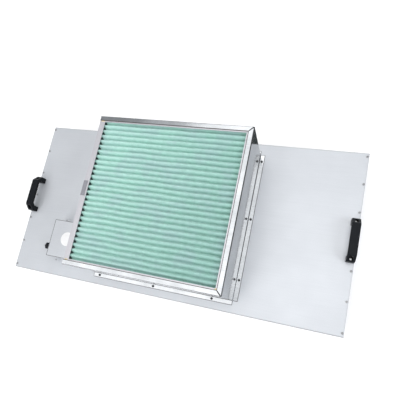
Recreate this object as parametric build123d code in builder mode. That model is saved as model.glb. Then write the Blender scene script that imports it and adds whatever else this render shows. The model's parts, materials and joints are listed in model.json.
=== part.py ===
from build123d import *

import os
from collections import namedtuple
from math import cos, pi, radians, sin, tan

# Fan filter unit for a cleanroom ceiling. Millimetres, +Z up. The origin is the centre of the
# bottom face. X runs along the long side, and the pre-filter draws out towards -X.

# ---------------------------------------------------------------- driving dimensions
FIT = 0.3               # gap between folded pieces that slot into one another
RUNNING = 0.3           # gap between a sliding piece and what guides it
BEND = 0.8              # inside radius of a sheet bend

# Final filter, the bottom layer of the unit
HEPA_DEPTH = 69.0
HEPA_WALL = 1.5
HEPA_LIP = 15.0
MITRE_GAP = 0.2         # half of the open seam between two mitred ends
GUARD_SHEET = 1.0
GUARD_COLUMNS = 15
GUARD_ROWS = 7
GUARD_BAR = 5.0
POTTING_WIDTH = 12.0
PACK_DEPTH = 54.0
PACK_PITCH = 8.0
PACK_RIDGE = 3.0
GASKET_DEPTH = 6.0
GASKET_WIDTH = 12.0

# Housing
HOUSING_LENGTH = 1170.0
HOUSING_WIDTH = 570.0
HOUSING_DEPTH = 50.0
HOUSING_SHEET = 1.2
HOUSING_FOOT = 22.0     # inward flange along the bottom of the sides
END_FLANGE = 26.0       # inward flange of the end panels, under the top sheet
END_SCREW_INSET = 5.0
END_SCREW_CORNER = 12.0 # outer screws to the long edges
END_SCREW_COUNT = 7
CLIP_SPACING = 300.0
CLIP_WIDTH = 30.0
CLIP_HEIGHT = 46.0
CLIP_SHEET = 1.5
CLIP_SCREW_REACH = 15.0

# Intake duct
DUCT_LENGTH = 500.0
DUCT_WIDTH = 490.0
DUCT_HEIGHT = 195.0
DUCT_SHEET = 1.2
DUCT_LIP = 14.0         # inward lip round the top
DUCT_FLANGE = 14.0      # outward flange round the bottom
FLANGE_SCREW_INSET = 7.5
FLANGE_SCREW_END = 22.0
FRONT_SCREW_PITCH = 205.0
SIDE_SCREW_PITCH = 201.0
FLANGE_SCREW_COUNT = 3
OPENING_LENGTH = 460.0  # hole in the top sheet under the duct
OPENING_WIDTH = 430.0
RAIL_LEG = 15.0
RAIL_SHEET = 1.2

# Pre-filter
PREFILTER_DEPTH = 22.0
PREFILTER_SHEET = 1.0
PREFILTER_BORDER = 18.0
PLEAT_COUNT = 28
PLEAT_ANGLE = 72.0      # flank of a pleat above the level
PLEAT_SHEET = 1.2
PLEAT_BEND = 1.2
TAB_LENGTH = 49.0
TAB_TOP = 13.0
TAB_DROP = 18.0
TAB_SHEET = 1.0

# Inlet plate and ring
INLET_HEIGHT = 137.0    # inlet plate above the top sheet
INLET_SHEET = 1.2
THROAT_RADIUS = 112.0
BELL_RADIUS = 32.0
RING_RIM = 14.0
RING_SHEET = 1.5
RING_REACH = 36.0       # from the inlet plate down to the ring's lower edge
RING_SCREW_COUNT = 6
PLATE_SCREW_SPACING = 380.0

# Motor bracket
BRACKET_WIDTH = 120.0
BRACKET_SHEET = 2.0
BRACKET_LEG = 26.0
BRACKET_SEAT = 15.0     # length of each end that rests on the top sheet
BRACKET_BOLT_SPACING = 80.0

# Motor
FLANGE_RADIUS = 55.0
FLANGE_DEPTH = 8.0
MOTOR_BOLT_CIRCLE = 84.0
MOTOR_BOLT_COUNT = 4
BEARING_BORE = 12.0
BEARING_OUTSIDE = 32.0
BEARING_DEPTH = 10.0
BEARING_GROOVE = 0.6
TUBE_WALL = 4.0
TUBE_SHOULDER = 2.0
BEARING_SPAN = 35.0     # between the two bearings
TUBE_RIM = 2.0          # tube above the upper bearing
BEARING_FLOOR = 2.0     # flange top to the lower bearing
SHAFT_FIT = 0.03
STATOR_RADIUS = 46.0
STATOR_DEPTH = 35.0
STATOR_RISE = 15.0      # stator above the flange
COIL_DEPTH = 8.0
COIL_WIDTH = 16.0
COIL_INSET = 4.0
AIR_GAP = 1.0
ROTOR_WALL = 4.0
ROTOR_RIM = 14.0
ROTOR_RIM_DEPTH = 3.0
ROTOR_RISE = 1.0        # rotor above the motor flange
ROTOR_TOP = 3.0
ROTOR_CLEARANCE = 2.0   # bearing tube to the rotor's boss
BOSS_RADIUS = 12.0
BOSS_DEPTH = 7.0

# Impeller
IMPELLER_RADIUS = 177.5
IMPELLER_SHEET = 1.5
BLADE_COUNT = 7
BLADE_SHEET = 2.0
BLADE_INNER = 124.0
BLADE_SWEEP = 42.0      # angle between a blade's inner and outer edge
BLADE_BOW = 9.0
OUTLET_HEIGHT = 74.0
EYE_CLEARANCE = 4.5     # ring to the inside of the eye
EYE_OVERLAP = 4.0
SHROUD_SLOPE = 8.0      # angle of the shroud's cone
SHROUD_BEND = 5.0       # inside radius between the cone and the eye's collar
IMPELLER_SCREW_CIRCLE = 118.0
IMPELLER_SCREW_COUNT = 6

# Motor lead, held by its clips and the two grommets
LEAD_RADIUS = 3.0
GROMMET_LIP = 2.0
GROMMET_WALL = 2.5
LEAD_FIT = 0.6
CLIP_BAND = 1.0
CLIP_RUN = 6.0
CLIP_FOOT = 12.0

# Handles
HANDLE_LENGTH = 133.0
HANDLE_WIDTH = 26.0
HANDLE_HEIGHT = 40.0
HANDLE_FOOT = 19.0
HANDLE_GRIP = 12.0      # thickness of the grip bar
HANDLE_SHOULDER = 20.0  # height at which the outer corners are cut back
HANDLE_CUT = 18.5
HANDLE_INNER_CUT = 8.0
HANDLE_EDGE = 2.5
HANDLE_COUNTERBORE = 12.0
HANDLE_SEAT = 10.0      # material left under the screw head

# Control box
BOX_LENGTH = 140.0
BOX_WIDTH = 131.0
BOX_HEIGHT = 45.0
BOX_GAP = 40.0          # box to the duct's left wall
BOX_SETBACK = 23.0      # front of the box behind the duct's front wall
BOX_SHEET = 1.0
LID_RIM = 10.0
EAR_WIDTH = 24.0
EAR_REACH = 17.0
LID_SCREW_SPACING = 60.0
GLAND_SETBACK = 34.0    # gland behind the front of the box
GLAND_RISE = 21.0       # above the top sheet
GLAND_THREAD = 16.0
GLAND_BORE = 10.0
GLAND_HEX = 22.0
GLAND_HEX_DEPTH = 6.0
GLAND_CAP = 23.0        # length of the cap
GLAND_CAP_DOME = 6.0
LOCKNUT_DEPTH = 5.0
BLOCK_LENGTH = 56.0
BLOCK_WIDTH = 20.0
BLOCK_HEIGHT = 28.0
BLOCK_WAYS = 4
BLOCK_STEP = 10.0
BLOCK_INSET = 26.0      # terminal block to the box's right side
CAPACITOR_LENGTH = 47.0
CAPACITOR_WIDTH = 18.0
CAPACITOR_HEIGHT = 34.0
CAPACITOR_EDGE = 3.0

# Fasteners
Screw = namedtuple("Screw", "shank head rise length")
SHEET_SCREW = Screw(shank=1.95, head=3.7, rise=2.3, length=9.5)
FLANGE_SCREW = Screw(shank=1.95, head=3.9, rise=2.4, length=9.5)
SMALL_SCREW = Screw(shank=1.45, head=2.8, rise=1.8, length=6.5)
RING_SCREW = Screw(shank=1.95, head=3.7, rise=2.3, length=8.0)
IMPELLER_SCREW = Screw(shank=1.95, head=3.5, rise=2.2, length=4.5)
M5_SCREW = Screw(shank=2.5, head=4.6, rise=3.0, length=20.0)
BRACKET_SCREW = Screw(shank=2.5, head=4.6, rise=3.0, length=11.0)
MOTOR_SCREW = Screw(shank=3.0, head=5.2, rise=3.6, length=8.0)
NUT_ACROSS = 8.0
NUT_DEPTH = 4.0
HOLE_FIT = 0.05         # radius added to a hole over its screw
RECESS_WIDTH = 1.0
RECESS_DEPTH = 1.1
RECESS_REACH = 0.62     # recess arm as a part of the head's radius

# ---------------------------------------------------------------- derived levels and places
HOUSING_FLOOR = HEPA_DEPTH + GASKET_DEPTH
DECK = HOUSING_FLOOR + HOUSING_DEPTH            # top face of the top sheet
DECK_UNDER = DECK - HOUSING_SHEET
TOP = DECK + DUCT_HEIGHT
HALF_L = HOUSING_LENGTH / 2
HALF_W = HOUSING_WIDTH / 2
DUCT_X = DUCT_LENGTH / 2
DUCT_Y = DUCT_WIDTH / 2
INNER_X = DUCT_X - DUCT_SHEET
INNER_Y = DUCT_Y - DUCT_SHEET

PREFILTER_TOP = TOP - DUCT_SHEET - RUNNING
PREFILTER_BOTTOM = PREFILTER_TOP - PREFILTER_DEPTH
PREFILTER_RIGHT = INNER_X - RUNNING
PREFILTER_LEFT = -DUCT_X
PREFILTER_Y = INNER_Y - RUNNING
PREFILTER_MID = (PREFILTER_RIGHT + PREFILTER_LEFT) / 2
PREFILTER_LENGTH = PREFILTER_RIGHT - PREFILTER_LEFT
RAIL_TOP = PREFILTER_BOTTOM - RUNNING
LOW_WALL = RAIL_TOP - DECK

INLET_TOP = DECK + INLET_HEIGHT
INLET_UNDER = INLET_TOP - INLET_SHEET
BELL_EDGE = THROAT_RADIUS + BELL_RADIUS
RING_EDGE = BELL_EDGE + RING_RIM
RING_BOTTOM = INLET_TOP - RING_REACH
RING_OUTSIDE = THROAT_RADIUS + RING_SHEET

BRACKET_TOP = DECK + BRACKET_SHEET
MOTOR_TOP = BRACKET_TOP + FLANGE_DEPTH
BEARING_RADIUS = BEARING_OUTSIDE / 2
TUBE_RADIUS = BEARING_RADIUS + TUBE_WALL
LOW_BEARING = MOTOR_TOP + BEARING_FLOOR
HIGH_BEARING = LOW_BEARING + BEARING_DEPTH + BEARING_SPAN
TUBE_TOP = HIGH_BEARING + BEARING_DEPTH + TUBE_RIM
ROTOR_BOTTOM = MOTOR_TOP + ROTOR_RISE
ROTOR_INSIDE = STATOR_RADIUS + AIR_GAP
ROTOR_RADIUS = ROTOR_INSIDE + ROTOR_WALL
BOSS_BOTTOM = TUBE_TOP + ROTOR_CLEARANCE
ROTOR_UNDER = BOSS_BOTTOM + BOSS_DEPTH
ROTOR_CROWN = ROTOR_UNDER + ROTOR_TOP
PLATE_BOTTOM = ROTOR_BOTTOM + ROTOR_RIM_DEPTH
BLADE_BOTTOM = PLATE_BOTTOM + IMPELLER_SHEET
EYE_RADIUS = RING_OUTSIDE + EYE_CLEARANCE
EYE_TOP = RING_BOTTOM + EYE_OVERLAP
SHROUD_RIM = BLADE_BOTTOM + OUTLET_HEIGHT

BOX_RIGHT = -DUCT_X - BOX_GAP
BOX_LEFT = BOX_RIGHT - BOX_LENGTH
BOX_FRONT = -DUCT_Y + BOX_SETBACK
BOX_X = BOX_LEFT + BOX_LENGTH / 2
BOX_Y = BOX_FRONT + BOX_WIDTH / 2
BOX_BACK = BOX_FRONT + BOX_WIDTH
BOX_TOP = DECK + BOX_HEIGHT
BODY_TOP = BOX_TOP - BOX_SHEET
GLAND_Y = BOX_FRONT + GLAND_SETBACK
GLAND_Z = DECK + GLAND_RISE
HANDLE_X = HALF_L - HANDLE_WIDTH / 2
HANDLE_SCREW_Y = (HANDLE_LENGTH - HANDLE_FOOT) / 2

SIDES = {
    "front": Vector(0, -1, 0),
    "back": Vector(0, 1, 0),
    "right": Vector(1, 0, 0),
    "left": Vector(-1, 0, 0),
}

end_screw_pitch = 2 * (HALF_W - END_SCREW_CORNER) / (END_SCREW_COUNT - 1)
end_screw_spots = [
    (side * (HALF_L - END_SCREW_INSET), (row - (END_SCREW_COUNT - 1) / 2) * end_screw_pitch)
    for side in (-1, 1)
    for row in range(END_SCREW_COUNT)
]
handle_screw_spots = [(side * HANDLE_X, end * HANDLE_SCREW_Y) for side in (-1, 1) for end in (-1, 1)]
flange_screw_spots = []
for row in range(FLANGE_SCREW_COUNT):
    along_front = -DUCT_X + FLANGE_SCREW_END + row * FRONT_SCREW_PITCH
    along_side = DUCT_Y - FLANGE_SCREW_END - row * SIDE_SCREW_PITCH
    for side in (-1, 1):
        flange_screw_spots.append((along_front, side * (DUCT_Y + FLANGE_SCREW_INSET)))
        flange_screw_spots.append((side * (DUCT_X + FLANGE_SCREW_INSET), along_side))
bracket_x = OPENING_LENGTH / 2 + BRACKET_SEAT / 2
bracket_spots = [
    (side * bracket_x, end * BRACKET_BOLT_SPACING / 2) for side in (-1, 1) for end in (-1, 1)
]
ear_x = BOX_LENGTH / 2 - EAR_WIDTH / 2
ear_y = BOX_WIDTH / 2 + EAR_REACH / 2
box_screw_spots = [
    (BOX_X + side * ear_x, BOX_Y + end * ear_y) for side in (-1, 1) for end in (-1, 1)
]

clip_z = HOUSING_FLOOR - GASKET_DEPTH / 2
clip_screw_z = [clip_z + end * (CLIP_HEIGHT - CLIP_SCREW_REACH) / 2 for end in (-1, 1)]
clip_screw_y = [side * CLIP_SPACING / 2 for side in (-1, 1)]

finished = []


def keep(part, label):
    """Name a finished piece and put it on the list of files to write."""
    part.label = label
    finished.append(part)


def side_plane(side):
    """Upright plane across one side: its x points outwards, its y points up."""
    outward = SIDES[side]
    return Plane(origin=(0, 0, 0), x_dir=outward, z_dir=outward.cross(Vector(0, 0, 1)))


def folded_section(plane, path, sheet, bend, side=Side.LEFT):
    """Section of a folded sheet: path runs along one face, the sheet lies on the given side."""
    with BuildSketch(plane, mode=Mode.PRIVATE) as section:
        with BuildLine():
            FilletPolyline(*path, radius=bend + sheet)
            offset(amount=sheet, side=side)
        make_face()
    return section.sketch


def screw(size):
    """Pan-head screw on z = 0: head above, shank below, cross recess in the head."""
    with BuildPart() as pan:
        Cylinder(size.head, size.rise, align=(Align.CENTER, Align.CENTER, Align.MIN))
        chamfer(pan.edges().sort_by(Axis.Z)[-1], size.rise / 3, size.head / 3)
        Cylinder(size.shank, size.length, align=(Align.CENTER, Align.CENTER, Align.MAX))
        arm = 2 * size.head * RECESS_REACH
        with Locations((0, 0, size.rise)):
            Box(arm, RECESS_WIDTH, 2 * RECESS_DEPTH, mode=Mode.SUBTRACT)
            Box(RECESS_WIDTH, arm, 2 * RECESS_DEPTH, mode=Mode.SUBTRACT)
    return pan.part


def nut(across, depth, bore):
    """Hexagon nut hanging from z = 0."""
    with BuildPart() as hexagon:
        with BuildSketch():
            RegularPolygon(across / 2, 6, major_radius=False)
            Circle(bore, mode=Mode.SUBTRACT)
        extrude(amount=-depth)
    return hexagon.part


def group(label, piece, places):
    """Put the same fastener at every place, as separate solids of one node."""
    with BuildPart() as copies:
        with Locations(*places):
            add(piece)
    keep(copies.part, label)


def at_height(spots, height):
    return [(x, y, height) for x, y in spots]


def drill_side(sign, across, spots, size, sheets):
    """Clear holes for one screw size through an upright face; spots are (y, z) pairs."""
    places = [
        Location(Plane(origin=(sign * (across + 1), y, z), z_dir=(sign, 0, 0))) for y, z in spots
    ]
    with Locations(*places):
        Hole(size.shank + HOLE_FIT, depth=sheets + 2)


def drill(spots, level, size, sheets):
    """Clear holes for one screw size, cut downwards from just above the given level."""
    with Locations(*at_height(spots, level + 1)):
        Hole(size.shank + HOLE_FIT, depth=sheets + 2)


# ---------------------------------------------------------------- final filter
def hepa_member(side):
    """One mitred channel of the filter frame, open inwards."""
    across = HALF_L if side in ("left", "right") else HALF_W
    length = HOUSING_WIDTH if side in ("left", "right") else HOUSING_LENGTH
    plane = side_plane(side)
    inner = across - HEPA_WALL
    with BuildPart() as member:
        with BuildSketch(plane):
            with Locations((across, 0)):
                Rectangle(HEPA_LIP, HEPA_DEPTH, align=(Align.MAX, Align.MIN))
            with Locations((inner, HEPA_WALL)):
                Rectangle(HEPA_LIP, HEPA_DEPTH - 2 * HEPA_WALL, align=(Align.MAX, Align.MIN),
                          mode=Mode.SUBTRACT)
        extrude(amount=length / 2, both=True)
        for end in (-1, 1):
            corner = plane.x_dir * across + plane.z_dir * (end * length / 2)
            cut_dir = plane.x_dir * -1 + plane.z_dir * end
            seam = Plane(origin=corner - cut_dir.normalized() * MITRE_GAP, z_dir=cut_dir)
            split(bisect_by=seam, keep=Keep.BOTTOM)
        if side in ("left", "right"):
            sign = 1 if side == "right" else -1
            low_spots = [(y, clip_screw_z[0]) for y in clip_screw_y]
            drill_side(sign, across, low_spots, SMALL_SCREW, HEPA_WALL)
    keep(member.part, "hepa_frame_" + side)


for side in SIDES:
    hepa_member(side)

guard_length = HOUSING_LENGTH - 2 * (HEPA_WALL + FIT)
guard_width = HOUSING_WIDTH - 2 * (HEPA_WALL + FIT)
guard_border = HEPA_LIP - HEPA_WALL - FIT
cell_x = (guard_length - 2 * guard_border - (GUARD_COLUMNS - 1) * GUARD_BAR) / GUARD_COLUMNS
cell_y = (guard_width - 2 * guard_border - (GUARD_ROWS - 1) * GUARD_BAR) / GUARD_ROWS
with BuildPart() as hepa_face_guard:
    with BuildSketch(Plane.XY.offset(HEPA_WALL)):
        Rectangle(guard_length, guard_width)
        with GridLocations(cell_x + GUARD_BAR, cell_y + GUARD_BAR, GUARD_COLUMNS, GUARD_ROWS):
            Rectangle(cell_x, cell_y, mode=Mode.SUBTRACT)
    extrude(amount=GUARD_SHEET)
keep(hepa_face_guard.part, "hepa_face_guard")

potting_floor = HEPA_WALL + GUARD_SHEET
potting_height = HEPA_DEPTH - HEPA_WALL - potting_floor
pack_length = guard_length - 2 * POTTING_WIDTH
pack_width = guard_width - 2 * POTTING_WIDTH
with BuildPart() as hepa_potting:
    with BuildSketch(Plane.XY.offset(potting_floor)):
        Rectangle(guard_length, guard_width)
        Rectangle(pack_length, pack_width, mode=Mode.SUBTRACT)
    extrude(amount=potting_height)
    for sign in (-1, 1):
        screw_reach = SMALL_SCREW.length - CLIP_SHEET
        low_spots = [(y, clip_screw_z[0]) for y in clip_screw_y]
        drill_side(sign, HALF_L, low_spots, SMALL_SCREW, screw_reach)
keep(hepa_potting.part, "hepa_potting")

pack_floor = (HEPA_DEPTH - PACK_DEPTH) / 2
ridge_count = round(pack_length / PACK_PITCH)
ridge_step = pack_length / ridge_count
lower_edge = []
upper_edge = []
for ridge in range(ridge_count):
    start = -pack_length / 2 + ridge * ridge_step
    lower_edge += [(start, pack_floor + PACK_RIDGE), (start + ridge_step / 2, pack_floor)]
    upper_edge += [(start, pack_floor + PACK_DEPTH - PACK_RIDGE),
                   (start + ridge_step / 2, pack_floor + PACK_DEPTH)]
lower_edge.append((pack_length / 2, pack_floor + PACK_RIDGE))
upper_edge.append((pack_length / 2, pack_floor + PACK_DEPTH - PACK_RIDGE))
with BuildPart() as hepa_media:
    with BuildSketch(Plane.XZ):
        with BuildLine():
            Polyline(*lower_edge, *reversed(upper_edge), close=True)
        make_face()
    extrude(amount=pack_width / 2, both=True)
keep(hepa_media.part, "hepa_media")

gasket_inset = (HEPA_LIP - GASKET_WIDTH) / 2
gasket_length = HOUSING_LENGTH - 2 * gasket_inset
gasket_width = HOUSING_WIDTH - 2 * gasket_inset
with BuildPart() as hepa_gasket:
    with BuildSketch(Plane.XY.offset(HEPA_DEPTH)):
        Rectangle(gasket_length, gasket_width)
        Rectangle(gasket_length - 2 * GASKET_WIDTH, gasket_width - 2 * GASKET_WIDTH,
                  mode=Mode.SUBTRACT)
    extrude(amount=GASKET_DEPTH)
keep(hepa_gasket.part, "hepa_gasket")

# ---------------------------------------------------------------- housing
shell_path = [
    (HALF_W - HOUSING_FOOT, HOUSING_FLOOR),
    (HALF_W, HOUSING_FLOOR),
    (HALF_W, DECK),
    (-HALF_W, DECK),
    (-HALF_W, HOUSING_FLOOR),
    (-HALF_W + HOUSING_FOOT, HOUSING_FLOOR),
]
with BuildPart() as housing_shell:
    extrude(folded_section(Plane.YZ, shell_path, HOUSING_SHEET, BEND), amount=HALF_L, both=True)
    for end in (-1, 1):
        with Locations((end * HALF_L, 0, HOUSING_FLOOR)):
            Box(2 * (HOUSING_SHEET + FIT), HOUSING_WIDTH - 2 * HOUSING_SHEET, 4 * HOUSING_SHEET,
                mode=Mode.SUBTRACT)
    with Locations((0, 0, DECK)):
        Box(OPENING_LENGTH, OPENING_WIDTH, 4 * HOUSING_SHEET, mode=Mode.SUBTRACT)
    drill(end_screw_spots, DECK, SHEET_SCREW, HOUSING_SHEET)
    drill(handle_screw_spots, DECK, M5_SCREW, HOUSING_SHEET)
    drill(flange_screw_spots, DECK, FLANGE_SCREW, HOUSING_SHEET)
    drill(bracket_spots, DECK, BRACKET_SCREW, HOUSING_SHEET)
    drill(box_screw_spots, DECK, SMALL_SCREW, HOUSING_SHEET)
keep(housing_shell.part, "housing_shell")


def end_panel(side):
    """Folded end panel inside the shell: web, top flange and bottom flange."""
    sign = 1 if side == "right" else -1
    web_path = [
        (HALF_L - END_FLANGE, DECK_UNDER),
        (HALF_L, DECK_UNDER),
        (HALF_L, HOUSING_FLOOR),
        (HALF_L - HOUSING_FOOT, HOUSING_FLOOR),
    ]
    section = folded_section(side_plane(side), web_path, HOUSING_SHEET, BEND, Side.RIGHT)
    half_width = HALF_W - HOUSING_SHEET - BEND - FIT
    with BuildPart() as panel:
        extrude(section, amount=half_width, both=True)
        for end in (-1, 1):
            with Locations((sign * HALF_L, end * half_width, HOUSING_FLOOR)):
                foot_cut = HOUSING_FOOT - HOUSING_SHEET - BEND
                Box(2 * (HOUSING_FOOT + FIT), 2 * (foot_cut + FIT), 4 * HOUSING_SHEET,
                    mode=Mode.SUBTRACT)
        own = [spot for spot in end_screw_spots if spot[0] * sign > 0]
        drill(own, DECK_UNDER, SHEET_SCREW, HOUSING_SHEET)
        own = [spot for spot in handle_screw_spots if spot[0] * sign > 0]
        drill(own, DECK_UNDER, M5_SCREW, HOUSING_SHEET)
        high_spots = [(y, clip_screw_z[1]) for y in clip_screw_y]
        drill_side(sign, HALF_L, high_spots, SMALL_SCREW, HOUSING_SHEET)
    keep(panel.part, "end_panel_" + side)


end_panel("left")
end_panel("right")
group("end_panel_screws", screw(SHEET_SCREW), at_height(end_screw_spots, DECK))

with BuildPart() as filter_clip:
    with BuildSketch():
        RectangleRounded(CLIP_WIDTH, CLIP_HEIGHT, 3)
        with GridLocations(0, CLIP_HEIGHT - CLIP_SCREW_REACH, 1, 2):
            Circle(SMALL_SCREW.shank + HOLE_FIT, mode=Mode.SUBTRACT)
    extrude(amount=CLIP_SHEET)
clip_places = []
clip_screw_places = []
for sign in (-1, 1):
    for y in clip_screw_y:
        face = Plane(origin=(sign * HALF_L, y, clip_z), x_dir=(0, sign, 0), z_dir=(sign, 0, 0))
        clip_places.append(face.location)
        for z in clip_screw_z:
            head = Plane(origin=(sign * (HALF_L + CLIP_SHEET), y, z), z_dir=(sign, 0, 0))
            clip_screw_places.append(head.location)
group("filter_clips", filter_clip.part, clip_places)
group("filter_clip_screws", screw(SMALL_SCREW), clip_screw_places)

# ---------------------------------------------------------------- intake duct
def duct_wall(side, height, lip_mitres):
    """Folded duct wall: flange out along the deck, upright, lip in along the top."""
    ends_in_corner = side in ("front", "back")
    outer = DUCT_Y if ends_in_corner else DUCT_X
    path = [(outer + DUCT_FLANGE, DECK + DUCT_SHEET), (outer, DECK + DUCT_SHEET),
            (outer, DECK + height), (outer - DUCT_LIP, DECK + height)]
    low, high = {
        "front": (-DUCT_X, INNER_X - FIT),
        "back": (-DUCT_X, INNER_X - FIT),
        "right": (-DUCT_Y, DUCT_Y),
        "left": (-INNER_Y + FIT, INNER_Y - FIT),
    }[side]
    along = Vector(1, 0, 0) if ends_in_corner else Vector(0, 1, 0)
    plane = side_plane(side)
    forward = plane.z_dir.dot(along)
    start = plane.offset(low * forward)
    with BuildPart() as wall:
        extrude(folded_section(start, path, DUCT_SHEET, BEND), amount=(high - low) * forward)
        for end in lip_mitres:
            corner = Vector(DUCT_X, end * DUCT_Y, 0)
            across_seam = Vector(1, -end, 0)
            keep_dir = across_seam if ends_in_corner else across_seam * -1
            seam = Plane(origin=corner - keep_dir.normalized() * MITRE_GAP, z_dir=keep_dir)
            split(bisect_by=seam, keep=Keep.BOTTOM)
        own = [
            spot for spot in flange_screw_spots
            if Vector(*spot).dot(SIDES[side]) > outer
        ]
        drill(own, DECK + DUCT_SHEET, FLANGE_SCREW, DUCT_SHEET)
        if side == "left":
            drill_lead(-DUCT_X)
    keep(wall.part, "duct_wall_" + side)


def drill_lead(face_x):
    """Hole for a grommet round the motor lead, through an upright face at face_x."""
    hole = LEAD_RADIUS + LEAD_FIT + GROMMET_WALL
    mouth = Plane(origin=(face_x, *lead_crossing(face_x)), z_dir=(-1, 0, 0))
    with Locations(mouth.offset(2).location):
        Hole(hole, depth=8)


# Route of the motor lead: out of the motor flange, along the bracket, through the left duct
# wall and the control box wall, into the terminal block.
block_x = BOX_RIGHT - BLOCK_INSET
lead_points = [
    (-FLANGE_RADIUS, 0.0, BRACKET_TOP + 4.2),
    (-96.0, 0.0, BRACKET_TOP + 4.2),
    (-137.0, -18.0, BRACKET_TOP + 4.6),
    (-172.0, -53.0, BRACKET_TOP + 5.6),
    (-202.0, -91.0, BRACKET_TOP + 11.0),
    (-232.0, -114.0, BRACKET_TOP + 16.5),
    (-272.0, -120.0, BRACKET_TOP + 18.0),
    (block_x, -120.0, BRACKET_TOP + 18.0),
]


def lead_crossing(face_x):
    """y and z of the lead's centre where its run crosses the plane x = face_x."""
    for near, far in zip(lead_points, lead_points[1:]):
        if far[0] <= face_x <= near[0]:
            share = (face_x - near[0]) / (far[0] - near[0])
            return [near[axis] + share * (far[axis] - near[axis]) for axis in (1, 2)]
    raise ValueError("the lead does not cross this face")


def bend_radii(points):
    """Radius of each bend: 0.45 of the shorter run over the tangent of half the turn."""
    radii = []
    for before, here, after in zip(points, points[1:], points[2:]):
        run_in = Vector(*here) - Vector(*before)
        run_out = Vector(*after) - Vector(*here)
        turn = radians(run_in.get_angle(run_out))
        radii.append(0.45 * min(run_in.length, run_out.length) / tan(turn / 2))
    return radii


duct_wall("front", DUCT_HEIGHT, [-1])
duct_wall("back", DUCT_HEIGHT, [1])
duct_wall("right", DUCT_HEIGHT, [-1, 1])
duct_wall("left", LOW_WALL, [])
group("duct_flange_screws", screw(FLANGE_SCREW), at_height(flange_screw_spots, DECK + DUCT_SHEET))


def wall_rail(label, side, level, left_end):
    """Angle on the inside of the front or back wall, its shelf at the given level."""
    path = [(INNER_Y, level - RAIL_LEG), (INNER_Y, level), (INNER_Y - RAIL_LEG, level)]
    sign = -1 if side == "front" else 1
    plane = Plane(origin=(left_end, 0, 0), x_dir=(0, sign, 0), z_dir=(sign, 0, 0))
    length = INNER_X - FIT - left_end
    with BuildPart() as rail:
        extrude(folded_section(plane, path, RAIL_SHEET, BEND), amount=sign * length)
        if label.startswith("inlet"):
            spots = [(x, y) for x, y in inlet_plate_spots if y * sign > 0]
            drill(spots, level, RING_SCREW, RAIL_SHEET)
    keep(rail.part, label)


inlet_plate_spots = [
    (x, side * (INNER_Y - RAIL_LEG / 2))
    for x in (-PLATE_SCREW_SPACING / 2, PLATE_SCREW_SPACING / 2)
    for side in (-1, 1)
]
rail_left = -DUCT_X + DUCT_LIP + FIT
wall_rail("filter_rail_front", "front", RAIL_TOP, rail_left)
wall_rail("filter_rail_back", "back", RAIL_TOP, rail_left)
wall_rail("inlet_rail_front", "front", INLET_UNDER, -INNER_X + FIT)
wall_rail("inlet_rail_back", "back", INLET_UNDER, -INNER_X + FIT)

# ---------------------------------------------------------------- pre-filter
hollow_x = PREFILTER_LENGTH - 2 * PREFILTER_SHEET
hollow_y = 2 * (PREFILTER_Y - PREFILTER_SHEET)
hollow_z = PREFILTER_DEPTH - 2 * PREFILTER_SHEET
with BuildPart() as prefilter_frame:
    with Locations((PREFILTER_MID, 0, PREFILTER_BOTTOM)):
        Box(PREFILTER_LENGTH, 2 * PREFILTER_Y, PREFILTER_DEPTH,
            align=(Align.CENTER, Align.CENTER, Align.MIN))
        Box(PREFILTER_LENGTH - 2 * PREFILTER_BORDER, 2 * (PREFILTER_Y - PREFILTER_BORDER),
            3 * PREFILTER_DEPTH, mode=Mode.SUBTRACT)
    with Locations((PREFILTER_MID, 0, PREFILTER_BOTTOM + PREFILTER_SHEET)):
        Box(hollow_x, hollow_y, hollow_z, align=(Align.CENTER, Align.CENTER, Align.MIN),
            mode=Mode.SUBTRACT)
keep(prefilter_frame.part, "prefilter_frame")

media_width = hollow_y - 2 * (FIT + PLEAT_SHEET)
media_length = hollow_x - 2 * FIT
pleat_step = media_width / PLEAT_COUNT
pleat_rise = pleat_step / 2 * tan(radians(PLEAT_ANGLE))
pleat_middle = (PREFILTER_TOP + PREFILTER_BOTTOM + PLEAT_SHEET) / 2
pleat_path = [(-media_width / 2, pleat_middle)]
for pleat in range(PLEAT_COUNT):
    start = -media_width / 2 + pleat * pleat_step
    pleat_path += [(start + pleat_step / 4, pleat_middle + pleat_rise / 2),
                   (start + 3 * pleat_step / 4, pleat_middle - pleat_rise / 2)]
pleat_path.append((media_width / 2, pleat_middle))
media_plane = Plane.YZ.offset(PREFILTER_MID)
with BuildPart() as prefilter_media:
    section = folded_section(media_plane, pleat_path, PLEAT_SHEET, PLEAT_BEND, Side.RIGHT)
    extrude(section, amount=media_length / 2, both=True)
keep(prefilter_media.part, "prefilter_media")

tab_path = [
    (-PREFILTER_LEFT - TAB_TOP, PREFILTER_TOP + TAB_SHEET),
    (-PREFILTER_LEFT + FIT + TAB_SHEET, PREFILTER_TOP + TAB_SHEET),
    (-PREFILTER_LEFT + FIT + TAB_SHEET, PREFILTER_TOP - TAB_DROP),
]
with BuildPart() as prefilter_pull_tab:
    section = folded_section(side_plane("left"), tab_path, TAB_SHEET, FIT, Side.RIGHT)
    extrude(section, amount=TAB_LENGTH / 2, both=True)
keep(prefilter_pull_tab.part, "prefilter_pull_tab")

# ---------------------------------------------------------------- inlet plate and ring
ring_spots = [
    (radius * cos(angle), radius * sin(angle))
    for radius in [BELL_EDGE + RING_RIM / 2]
    for angle in [2 * pi * index / RING_SCREW_COUNT for index in range(RING_SCREW_COUNT)]
]
with BuildPart() as inlet_plate:
    with BuildSketch(Plane.XY.offset(INLET_UNDER)):
        Rectangle(2 * (INNER_X - FIT), 2 * (INNER_Y - FIT))
        Circle(BELL_EDGE, mode=Mode.SUBTRACT)
    extrude(amount=INLET_SHEET)
    drill(ring_spots + inlet_plate_spots, INLET_TOP, RING_SCREW, INLET_SHEET)
keep(inlet_plate.part, "inlet_plate")

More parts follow.
